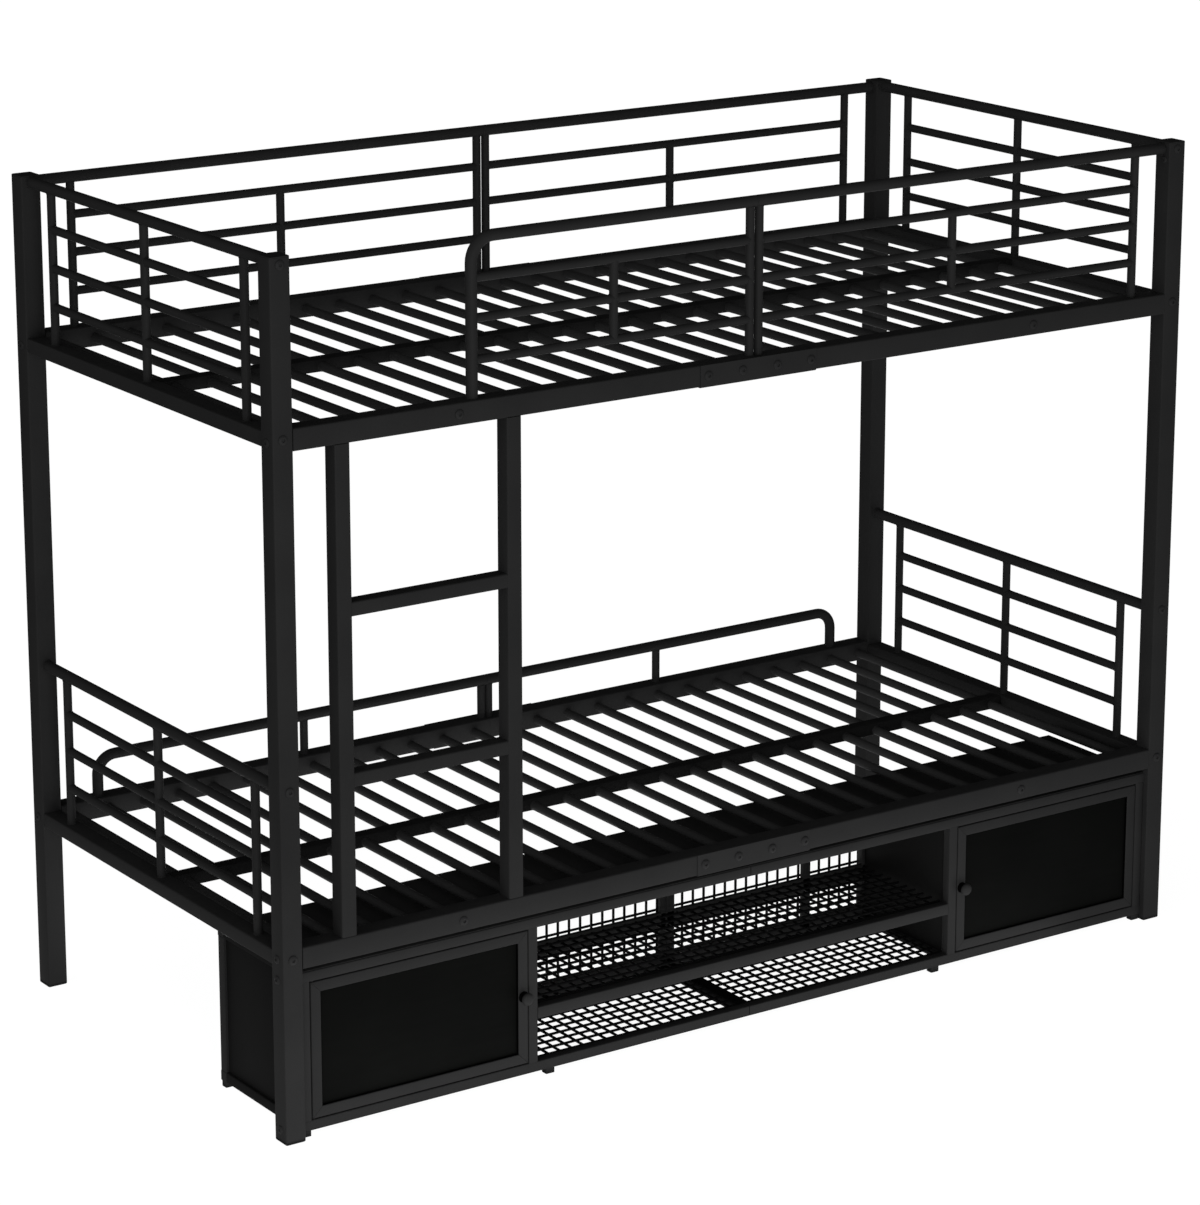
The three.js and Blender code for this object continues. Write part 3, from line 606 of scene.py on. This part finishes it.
def loose_form(name, profile, sides, hexagon):
    """A small turned form, six-sided from one ring on, kept only while it is being scattered."""
    bm = bmesh.new()
    loops = []
    for index, (radius, height) in enumerate(profile):
        loop = []
        for i in range(sides):
            angle = 2 * pi * i / sides
            reach = radius
            if index >= hexagon:
                reach = radius / max(cos((angle + pi / 6) % (pi / 3) - pi / 6), 0.5)
            loop.append(bm.verts.new(Vector((reach * cos(angle), reach * sin(angle), height)) / 1000))
        loops.append(loop)
    for low, high in zip(loops, loops[1:]):
        for i in range(sides):
            bm.faces.new((low[i], low[(i + 1) % sides], high[(i + 1) % sides], high[i]))
    bm.faces.new(reversed(loops[0]))
    bm.faces.new(loops[-1])
    mesh = bpy.data.meshes.new(name)
    bm.to_mesh(mesh)
    bm.free()
    made = bpy.data.objects.new(name, mesh)
    bpy.context.scene.collection.objects.link(made)
    return made


# Bolts and weld beads are gathered while the pieces are made
bolt_places = []
bead_places = []


def bead(point, way, diameter):
    bead_places.append((point, way, diameter / 20))


# Posts with their caps and feet
def make_posts():
    for side, sx in HALVES.items():
        for face, sy in FACES.items():
            place = f"{face}_{side}"
            x, y = sx * POST_X, sy * POST_Y
            post = Form()
            low, high = FOOT_RIM + FIT, HEIGHT - CAP_RIM - FIT
            post.bar("z", low, high, x, y, POST, POST, POST_CORNER, wall=POST_WALL)
            post.piece(f"{place}_post_tube", "frame_coat", nodes=[f"post_{place}"])
            cap = Form()
            cap.stack(x, y, [(HEIGHT - PLUG_DEEP, PLUG - 1.5, 1.5), (HEIGHT - PLUG_DEEP + 1, PLUG, 1.8),
                             (HEIGHT - CAP_RIM - 0.2, PLUG, 1.8), (HEIGHT - CAP_RIM, POST - 0.5, 2.8),
                             (HEIGHT - 2.6, POST, 3), (HEIGHT - 1.2, POST, 3), (HEIGHT - 0.5, POST - 0.9, 3),
                             (HEIGHT - 0.15, POST - 2.4, 3), (HEIGHT, POST - 8, 3)])
            cap.piece(f"{place}_cap", "black_plastic", nodes=[f"post_cap_{place}"])
            foot = Form()
            foot.stack(x, y, [(0, POST - 3, 2.5), (0.6, POST - 1.4, 3), (1.6, POST - 0.2, 3), (3.6, POST, 3),
                              (FOOT_RIM, POST - 0.4, 3), (FOOT_RIM + 0.1, PLUG, 1.8),
                              (PLUG_DEEP, PLUG, 1.8), (PLUG_DEEP + 1, PLUG - 1.5, 1.5)])
            foot.piece(f"{place}_foot", "black_plastic", nodes=[f"post_foot_{place}"])


# Side rails with the plates over their joints
def make_side_rails():
    for level, z in LEVELS.items():
        for face, sy in FACES.items():
            rail = Form()
            for sx in (-1, 1):
                low, high = sorted((sx * HALF_FIT, sx * (X_IN - FIT)))
                rail.bar("x", low, high, sy * POST_Y, z, POST, POST, POST_CORNER, wall=POST_WALL)
            rail.piece(f"{level}_{face}_rail", "frame_coat",
                       nodes=[f"{level}_{face}_rail_left", f"{level}_{face}_rail_right"])
            splice = Form()
            outer, inner = Y_OUT + FIT + SHEET, Y_IN + JOINT_LAP
            over, under = z + RAIL_HALF - 0.2, z - RAIL_HALF - FIT - SHEET
            ring = [(outer, over), (outer, under + JOINT_FOLD)]
            for angle in [pi / 2 * i / 4 for i in range(1, 5)]:
                ring.append((outer - JOINT_FOLD * (1 - cos(angle)), under + JOINT_FOLD * (1 - sin(angle))))
            ring += [(inner, under), (inner, under + SHEET), (outer - JOINT_FOLD, under + SHEET),
                     (outer - SHEET, under + JOINT_FOLD), (outer - SHEET, over)]
            start, end = JOINT_ENDS
            places = (start, start + 0.4, end - 0.4, end)
            splice.rings([[Vector((x, sy * y, w)) for y, w in ring] for x in places])
            splice.piece(f"{level}_{face}_joint_plate", "frame_coat", nodes=[f"{level}_{face}_splice"])
            for x in JOINT_BOLTS:
                bolt_places.append(((x, sy * outer, z), (0, sy, 0), 1.0))
            for x in RAIL_BOLTS:
                bolt_places.append(((x, sy * Y_OUT, z), (0, sy, 0), 1.0))


# Welded panels at both ends of each bed
def make_end_panels():
    upright, reach = PANEL_UPRIGHT, Y_IN - FIT
    for level, z in LEVELS.items():
        for side, sx in HALVES.items():
            x = sx * POST_X
            top = z + PANEL_RISE
            runs = [(FRAME_TUBE, [(x, -reach, top), (x, reach, top)], 0)]
            runs += [(BAR_TUBE, [(x, y, z), (x, y, top)], 0) for y in (-upright, 0, upright)]
            runs += [(BAR_TUBE, [(x, -upright, z + rise), (x, upright, z + rise)], 0) for rise in PANEL_BARS]
            panel = Form()
            panel.take(tubes(runs, "frame_coat"))
            panel.bar("y", -reach, reach, z - END_RAIL_DROP, sx * END_RAIL_X, END_RAIL_WIDE, END_RAIL_TALL, 3)
            panel.piece(f"{level}_{side}_panel", "frame_coat", nodes=[f"{level}_{side}_end_panel"])
            for y in (-upright, 0, upright):
                bead((x, y, z + BEAD_ON_RAIL), (0, 0, 1), BAR_TUBE)
                bead((x, y, top - BEAD_ON_FRAME), (0, 0, 1), BAR_TUBE)
            for rise in PANEL_BARS:
                for y, way in ((-upright, 1), (0, 1), (0, -1), (upright, -1)):
                    bead((x, y + way * BEAD_ON_BAR, z + rise), (0, 1, 0), BAR_TUBE)
            for y in (-reach, reach):
                bead((x, y, top), (0, 1, 0), FRAME_TUBE)


# Guards of the upper bed and behind the lower bed
def guard_bars(x0, x1, y):
    """The three thin bars between two uprights, and the short one that joins them."""
    heights = [LEVELS["upper"] + rise for rise in GUARD_BARS]
    middle = (x0 + x1) / 2
    for z in heights:
        ends = [x0 + BEAD_ON_BAR, x1 - BEAD_ON_BAR]
        if z == heights[1]:
            ends += [middle - BEAD_ON_BAR, middle + BEAD_ON_BAR]
        for x in ends:
            bead((x, y, z), (1, 0, 0), BAR_TUBE)
    return [(BAR_TUBE, [(x0, y, z), (x1, y, z)], 0) for z in heights] + [
        (BAR_TUBE, [(middle, y, heights[0]), (middle, y, heights[2])], 0)]


def make_guards():
    upper = LEVELS["upper"]
    foot, top = upper + RAIL_HALF + FIT, upper + GUARD_RISE
    end, meet = GUARD_END, GUARD_MEET
    for name, sx, y in (("upper_rear_guard_left", -1, POST_Y), ("upper_rear_guard_right", 1, POST_Y),
                        ("upper_front_guard_right", 1, -POST_Y)):
        runs = [(FRAME_TUBE, [(sx * FIT, y, top), (sx * (X_IN - FIT), y, top)], 0)]
        runs += [(BAR_TUBE, [(sx * x, y, foot), (sx * x, y, top)], 0) for x in (meet, end)]
        low, high = sorted((sx * meet, sx * end))
        runs += guard_bars(low, high, y)
        guard = Form()
        guard.take(tubes(runs, "frame_coat"))
        guard.piece(f"{name}_tubes", "frame_coat", nodes=[name])
        for x in (meet, end):
            bead((sx * x, y, foot), (0, 0, 1), BAR_TUBE)
            bead((sx * x, y, top - BEAD_ON_FRAME), (0, 0, 1), BAR_TUBE)
    y = -POST_Y
    runs = [(FRAME_TUBE, [(ACCESS_X, y, foot), (ACCESS_X, y, top), (-FIT, y, top)], ACCESS_BEND)]
    runs += [(BAR_TUBE, [(-meet, y, foot), (-meet, y, top)], 0)]
    runs += guard_bars(ACCESS_X, -meet, y)
    guard = Form()
    guard.take(tubes(runs, "frame_coat"))
    guard.piece("upper_front_guard_left_tubes", "frame_coat", nodes=["upper_front_guard_left"])
    bead((ACCESS_X, y, foot), (0, 0, 1), FRAME_TUBE)
    bead((-meet, y, foot), (0, 0, 1), BAR_TUBE)
    bead((-meet, y, top - BEAD_ON_FRAME), (0, 0, 1), BAR_TUBE)
    lower = LEVELS["lower"]
    foot, top = lower + RAIL_HALF + FIT, lower + LOW_GUARD_RISE
    for half, sx in HALVES.items():
        end = sx * LOW_GUARD_END
        bent = [(end, POST_Y, foot), (end, POST_Y, top), (sx * FIT, POST_Y, top)]
        runs = [(FRAME_TUBE, bent, LOW_GUARD_BEND)]
        runs += [(BAR_TUBE, [(sx * x, POST_Y, foot), (sx * x, POST_Y, top)], 0) for x in LOW_GUARD_BARS]
        guard = Form()
        guard.take(tubes(runs, "frame_coat"))
        guard.piece(f"lower_rear_guard_{half}_tubes", "frame_coat", nodes=[f"lower_rear_guard_{half}"])
        bead((end, POST_Y, foot), (0, 0, 1), FRAME_TUBE)
        for x in LOW_GUARD_BARS:
            bead((sx * x, POST_Y, foot), (0, 0, 1), BAR_TUBE)
            bead((sx * x, POST_Y, top - BEAD_ON_FRAME), (0, 0, 1), BAR_TUBE)


# Slatted decks
def make_decks():
    first = -SLAT_PITCH * (SLATS - 1) / 2
    for level, z in LEVELS.items():
        slats = Form()
        # The slats' lighter coat is painted light
        slats.take(bar_row(SLATS, (first, 0, z - SLAT_DROP), (SLAT_PITCH, 0, 0),
                           (0, Y_IN - FIT, 0), SLAT_RADIUS, "slat_coat"))
        slats.piece(f"{level}_slats", "slat_coat", nodes=[f"{level}_deck_left", f"{level}_deck_right"])
        beam = Form()
        for sx in (-1, 1):
            low, high = sorted((sx * HALF_FIT, sx * (BEAM_END - FIT)))
            beam.bar("x", low, high, 0, z, BEAM_WIDE, BEAM_TALL, BEAM_CORNER)
        # The beam's darker coat is painted shade
        beam.piece(f"{level}_centre_beam", "frame_coat", finish="beam_painted_shade")
        for i in range(SLATS):
            for sy in (-1, 1):
                place = (first + SLAT_PITCH * i, sy * (BEAM_WIDE / 2 + 0.2), z - SLAT_DROP)
                bead(place, (0, 1, 0), 2 * SLAT_RADIUS)


# Ladder between the front rails
def make_ladder():
    foot, top = LEVELS["lower"] + RAIL_HALF + FIT, LEVELS["upper"] - RAIL_HALF - FIT
    ladder = Form()
    for x in LADDER_X:
        ladder.bar("z", foot, top, x, LADDER_Y, LADDER_WIDE, LADDER_DEEP, LADDER_CORNER)
    for z in RUNG_Z:
        ladder.bar("x", LADDER_X[0] + RUNG_END, LADDER_X[1] - RUNG_END, LADDER_Y, z,
                   RUNG_DEEP, RUNG_TALL, LADDER_CORNER)
    ladder.piece("ladder_tubes", "frame_coat", nodes=["ladder"])


# Cabinet under the front of the lower bed
def cab_bar(form, axis, low, high, a, b, wide=CAB_TUBE, tall=CAB_TUBE):
    form.bar(axis, low, high, a, b, wide, tall, CAB_CORNER, steps=3)


def cabinet_frame(form, sx, y):
    """One half of the front or rear frame, on its feet."""
    low, high = sorted((sx * SEAM, sx * CAB_SIDE))
    cab_bar(form, "x", low, high, y, CAB_LOW_Z)
    cab_bar(form, "x", low, high, y, CAB_HIGH_Z)
    for x in (CAB_SIDE - CAB_TUBE / 2, BAY + CAB_TUBE / 2):
        cab_bar(form, "z", OPEN_LOW - 1, OPEN_HIGH + 1, sx * x, y)
    for x in (CAB_SIDE - CAB_TUBE / 2, BAY - FOOT_IN):
        form.bar("z", 0.0, FOOT_TOP, sx * x, y, FOOT_WIDE, FOOT_DEEP, CAB_CORNER, steps=3, edge=FOOT_EDGE)


def make_cabinet_frames():
    rear_bar = CAB_REAR - CAB_TUBE + REAR_DEEP / 2
    for half, sx in HALVES.items():
        front = Form()
        cabinet_frame(front, sx, CAB_FRONT + CAB_TUBE / 2)
        front.piece(f"cabinet_front_{half}", "frame_coat", nodes=[f"cabinet_front_frame_{half}"])
        rear = Form()
        cabinet_frame(rear, sx, CAB_REAR - CAB_TUBE / 2)
        for x, wide in ((HALF_FIT + REAR_MIDDLE[sx] / 2, REAR_MIDDLE[sx]), (REAR_OUTER, REAR_OUTER_WIDE)):
            cab_bar(rear, "z", OPEN_LOW - 1, OPEN_HIGH + 1, sx * x, rear_bar, wide, REAR_DEEP)
        low, high = sorted((sx * HALF_FIT, sx * (BAY + CAB_TUBE / 2)))
        for z, tall in ((SHELF_TOP - SHELF_REAR_TALL / 2, SHELF_REAR_TALL),
                        (OPEN_LOW + (REAR_LOW_RISE - REAR_SUNK) / 2, REAR_LOW_RISE + REAR_SUNK)):
            cab_bar(rear, "x", low, high, rear_bar, z, REAR_DEEP, tall)
        rear.piece(f"cabinet_rear_{half}", "frame_coat", nodes=[f"cabinet_rear_frame_{half}"])


def make_cabinet_sheets():
    y0, y1 = BETWEEN_FRAMES
    for half, sx in HALVES.items():
        for name, face, towards in ((f"cabinet_side_{half}", CAB_SIDE, -1), (f"bay_side_{half}", BAY, 1)):
            middle = sx * (face + towards * CAB_TUBE / 2)
            outside = sx * (face + towards * SIDE_SET)
            side = Form()
            cab_bar(side, "y", y0, y1, CAB_LOW_Z, middle)
            cab_bar(side, "y", y0, y1, CAB_HIGH_Z, middle)
            side.plate((outside, outside + sx * towards * SHEET), (y0, y1),
                       (OPEN_LOW - SIDE_LAP, OPEN_HIGH + SIDE_LAP))
            side.piece(f"{name}_sheet", "sheet_coat", nodes=[name])
        x0, x1 = sx * (BAY + CAB_TUBE + FIT), sx * (CAB_SIDE - CAB_TUBE - FIT)
        tray = Form()
        tray.plate((x0, x1), (y0, y1), (TRAY_FLOOR, TRAY_FLOOR + SHEET))
        tray.plate((x0, x1), (y1 - SHEET, y1), (TRAY_FLOOR + 0.9, CAB_TOP - FIT))
        tray.piece(f"{half}_tray", "sheet_coat", nodes=[f"{half}_box_tray"])
    top = Form()
    top.plate((-CAB_SIDE, CAB_SIDE), (TOP_FRONT, CAB_REAR), (CAB_TOP + FIT, CAB_TOP + FIT + SHEET))
    # The top's own tone is painted light and shade
    top.piece("cabinet_top", "sheet_coat", nodes=["cabinet_top_sheet"], finish="top_painted_shade")


def wires(form, first, step, count, half):
    """One row of round wires: the first one's middle, the step to the next and the half length."""
    form.take(bar_row(count, first, step, half, WIRE / 2, "wire_coat", sides=8))


def make_bay_mesh():
    side = BAY - FIT
    y0, y1 = BETWEEN_FRAMES
    mid_y, half_y = (y0 + y1) / 2, (y1 - y0) / 2
    floor = Form()
    cab_bar(floor, "y", y0, y1, CAB_LOW_Z, 0, CROSSBAR_WIDE, CROSSBAR_TALL)
    high = OPEN_LOW - WIRE_DROP
    long_mid, long_half = (side + FLOOR_START) / 2, (side - FLOOR_START) / 2
    for sx, (first, count) in FLOOR_WIRES.items():
        wires(floor, (first, mid_y, high - CROSSING), (sx * PITCH, 0, 0), count, (0, half_y, 0))
        wires(floor, (sx * long_mid, FLOOR_FIRST_Y, high), (0, PITCH, 0), LONG_WIRES, (long_half, 0, 0))
    floor.piece("bay_floor_wires", "wire_coat", nodes=["bay_floor_mesh"])
    lip = Form()
    cab_bar(lip, "x", -side, side, CAB_FRONT + CAB_TUBE / 2, SHELF_Z, CAB_TUBE, SHELF_TALL)
    lip.piece("bay_shelf_lip", "frame_coat")
    shelf = Form()
    high = SHELF_TOP - WIRE_DROP
    for sx, (first, count) in SHELF_WIRES.items():
        wires(shelf, (first, mid_y, high - CROSSING), (sx * PITCH, 0, 0), count, (0, half_y + 1, 0))
    wires(shelf, (0, SHELF_FIRST_Y, high), (0, PITCH, 0), LONG_WIRES, (side, 0, 0))
    shelf.piece("bay_shelf_wires", "wire_coat", nodes=["bay_shelf"])
    back = Form()
    y = CAB_REAR - CAB_TUBE + REAR_DEEP + FIT + WIRE / 2
    mid_z, half_z = (OPEN_LOW + OPEN_HIGH) / 2, (OPEN_HIGH - OPEN_LOW) / 2 - FIT
    for sx, (first, count) in BACK_WIRES.items():
        wires(back, (first, y, mid_z), (sx * PITCH, 0, 0), count, (0, 0, half_z))
    wires(back, (0, y + CROSSING, BACK_FIRST_Z + WIRE / 2), (0, 0, PITCH), LONG_WIRES, (side, 0, 0))
    back.piece("bay_back_wires", "wire_coat", nodes=["bay_back_mesh"])


# Doors: mitred frame with near-black strips of painted shade inside it, set-back panel, pins, and the knob on
# its spacer ring, made wide and near-black as painted shade
def make_doors():
    middle_y = CAB_FRONT + DOOR_DEEP / 2
    for half, sx in HALVES.items():
        body = f"{half}_door"
        x0, x1 = sorted((sx * DOOR_IN, sx * DOOR_OUT))
        door = Form()
        door.mitred([(x0, middle_y, DOOR_LOW), (x1, middle_y, DOOR_LOW), (x1, middle_y, DOOR_HIGH),
                     (x0, middle_y, DOOR_HIGH)], DOOR_DEEP, DOOR_MEMBER, DOOR_CORNER)
        pin = (sx * (DOOR_OUT - PIN_IN), CAB_FRONT + PIN_BACK, 0)
        for low, high in ((OPEN_LOW - PIN_SUNK, DOOR_LOW + 6), (DOOR_HIGH - 6, OPEN_HIGH + PIN_SUNK)):
            profile = [(PIN_RADIUS - 0.4, low), (PIN_RADIUS, low + 0.4), (PIN_RADIUS, high)]
            door.turned(profile, "z", pin, sides=16)
        door.piece(f"{half}_door_rails", "frame_coat", body, [f"{half}_door_frame"])
        edge = DOOR_MEMBER + FIT
        panel = Form()
        panel.plate((x0 + edge, x1 - edge), (DOOR_FACE, DOOR_FACE + DOOR_SHEET),
                    (DOOR_LOW + edge, DOOR_HIGH - edge), 0.4)
        panel.piece(f"{half}_door_sheet", "panel_coat", body, [f"{half}_door_panel"])
        # Painted shade: thin near-black strips where the frame's inner faces lie in shadow
        painted_shade_strips = Form()
        left, right = x0 + DOOR_MEMBER, x1 - DOOR_MEMBER
        low, high = DOOR_LOW + DOOR_MEMBER, DOOR_HIGH - DOOR_MEMBER
        depth = (PAINTED_SHADE_STRIP_FRONT, PAINTED_SHADE_STRIP_BACK)
        for x in ((left, left + PAINTED_SHADE_STRIP), (right - PAINTED_SHADE_STRIP, right)):
            painted_shade_strips.plate(x, depth, (low, high), 0.1)
        for z in ((low, low + PAINTED_SHADE_STRIP), (high - PAINTED_SHADE_STRIP, high)):
            painted_shade_strips.plate((left + 0.7, right - 0.7), depth, z, 0.1)
        painted_shade_strips.piece(f"{half}_door_lining", "frame_coat", body, finish="painted_shade")
        place = (sx * (DOOR_IN + DOOR_MEMBER / 2), CAB_FRONT - FIT, (DOOR_LOW + DOOR_HIGH) / 2 + KNOB_RISE)
        knob = Form()
        knob.turned(KNOB, "y", place, sign=-1, sides=40)
        knob.piece(f"{half}_knob", "frame_coat", body, [f"{half}_door_knob"])
        # The knob's ring carries the knob and is also painted shade for its shadow
        painted_shade = Form()
        painted_shade.turned(KNOB_SHADE_RING, "y", place, sign=-1, sides=40)
        painted_shade.piece(f"{half}_knob_washer", "frame_coat", body, finish="painted_shade")


def weld_ring(rounds=16, sides=8):
    """A slightly wavy ring of weld for a bar 20 mm thick, kept only while it is being scattered."""
    radius, half_wide, half_tall, wave = 9.7, 1.5, 1.2, 0.15
    bm = bmesh.new()
    loops = []
    for k in range(rounds):
        turn = 2 * pi * k / rounds
        loop = []
        for i in range(sides):
            angle = 2 * pi * i / sides
            reach = radius + half_wide * cos(angle)
            height = half_tall * sin(angle) + wave * sin(5 * k)
            loop.append(bm.verts.new(Vector((reach * cos(turn), reach * sin(turn), height)) / 1000))
        loops.append(loop)
    for k in range(rounds):
        this, after = loops[k], loops[(k + 1) % rounds]
        for i in range(sides):
            j = (i + 1) % sides
            bm.faces.new((this[i], this[j], after[j], after[i]))
    mesh = bpy.data.meshes.new("bead")
    bm.to_mesh(mesh)
    bm.free()
    made = bpy.data.objects.new("bead", mesh)
    bpy.context.scene.collection.objects.link(made)
    return made


# Bolts on the posts, rails and joint plates, and the weld beads
def make_bolts_and_beads():
    for sx in (-1, 1):
        for sy in (-1, 1):
            for z in LONG_FACE_BOLTS:
                if z != FRONT_ONLY or sy == -1:
                    bolt_places.append(((sx * POST_X, sy * Y_OUT, z), (0, sy, 0), 1.0))
            for z in END_FACE_BOLTS:
                if z > BOTH_ABOVE or sy == -1:
                    bolt_places.append(((sx * X_OUT, sy * POST_Y, z), (sx, 0, 0), 0.9))
    bolt_places.append((INNER_BOLT, (-1, 0, 0), 0.8))
    head = loose_form("bolt_head", BOLT_HEAD, 30, hexagon=SOCKET_FROM)
    bolts = Form()
    bolts.take(scattered(head, bolt_places, "bolt", seed=11))
    bolts.piece("frame_bolts", "frame_coat", finish="bolt")
    bpy.data.objects.remove(head)
    ring = weld_ring()
    beads = Form()
    beads.take(scattered(ring, bead_places, "frame_coat", seed=5))
    beads.piece("weld_beads", "frame_coat")
    bpy.data.objects.remove(ring)


# Floor, light and camera
def make_stage():
    bm = bmesh.new()
    reach = 60
    corners = [bm.verts.new((x * reach, y * reach, -0.0003)) for x, y in ((-1, -1), (1, -1), (1, 1), (-1, 1))]
    bm.faces.new(corners)
    mesh = bpy.data.meshes.new("floor")
    bm.to_mesh(mesh)
    bm.free()
    floor = bpy.data.objects.new("floor", mesh)
    bpy.context.scene.collection.objects.link(floor)

    def pale(graph):
        speck = noise(graph, 3, 2)
        feed(graph, Base_Color=tone(graph, speck, (0.11, 0.11, 0.11), (0.13, 0.13, 0.13)))
        feed(graph, Roughness=0.9, Specular_IOR_Level=0.0, Emission_Strength=0.97)
        graph.surface.inputs["Emission Color"].default_value = (1, 1, 1, 1)
    mesh.materials.append(finish_material("pale_floor", pale))
    # The paint is lit by the studio below, not by the floor's own glow
    floor.visible_diffuse = False
    floor.visible_glossy = False
    floor.visible_shadow = False

    world = bpy.data.worlds.new("studio")
    bpy.context.scene.world = world
    world.use_nodes = True
    graph = Graph(world.node_tree)
    world.node_tree.nodes.clear()
    way = graph.add("ShaderNodeTexCoord", out="Generated")
    across = graph.add("ShaderNodeSeparateXYZ", None, {0: way}, out="X")
    along = graph.add("ShaderNodeSeparateXYZ", None, {0: way}, out="Y")
    rise = graph.add("ShaderNodeSeparateXYZ", None, {0: way}, out="Z")
    # Soft light from the front, the left and the back right; each has its strength below and
    # above the horizon as the last two numbers
    front = 1 - ramp(graph, along, -1.0, 0.0)
    glow = front * ramp(graph, rise, -0.15, 0.15, 1.92, 0.5)
    left = 1 - ramp(graph, across, -1.0, 0.0)
    glow = glow + left * ramp(graph, rise, -0.15, 0.15, 0.42, 1.15)
    far = ramp(graph, along, 0.0, 1.0) * ramp(graph, across, 0.0, 1.0)
    glow = glow + far * ramp(graph, rise, -0.2, 0.0, 3.0, 0.1)
    dim = graph.add("ShaderNodeBackground", None, {"Color": (1, 1, 1, 1), "Strength": glow})
    pale_back = graph.add("ShaderNodeBackground", None, {"Color": (1, 1, 1, 1), "Strength": 0.95})
    seen = graph.add("ShaderNodeLightPath", out="Is Camera Ray")
    both = graph.add("ShaderNodeMixShader", None, {0: seen, 1: dim, 2: pale_back})
    graph.add("ShaderNodeOutputWorld", None, {"Surface": both})

    for name, place, size, power, aim in LAMPS:
        data = bpy.data.lights.new(name, "AREA")
        data.shape = "RECTANGLE" if name.startswith("floor") else "ELLIPSE"
        data.size, data.size_y = size
        data.energy = power
        lamp = bpy.data.objects.new(name, data)
        bpy.context.scene.collection.objects.link(lamp)
        lamp.location = place
        lamp.visible_camera = False
        lamp.rotation_euler = (Vector(aim) - Vector(place)).to_track_quat("-Z", "Y").to_euler()


def make_camera():
    data = bpy.data.cameras.new("camera")
    data.sensor_width = 36
    data.lens = FOCAL / PICTURE_TALL * data.sensor_width
    data.shift_y = LENS_RISE / PICTURE_TALL
    data.clip_start = 0.1
    data.clip_end = 200
    camera = bpy.data.objects.new("camera", data)
    bpy.context.scene.collection.objects.link(camera)
    camera.location = CAMERA_AT
    camera.rotation_euler = Euler((radians(90 - CAMERA_DOWN), 0, radians(CAMERA_TURN)), "XYZ")
    bpy.context.scene.camera = camera


bpy.context.scene.view_settings.view_transform = "Standard"
make_camera()
make_stage()
make_posts()
make_side_rails()
make_end_panels()
make_guards()
make_decks()
make_ladder()
make_cabinet_frames()
make_cabinet_sheets()
make_bay_mesh()
make_doors()
make_bolts_and_beads()
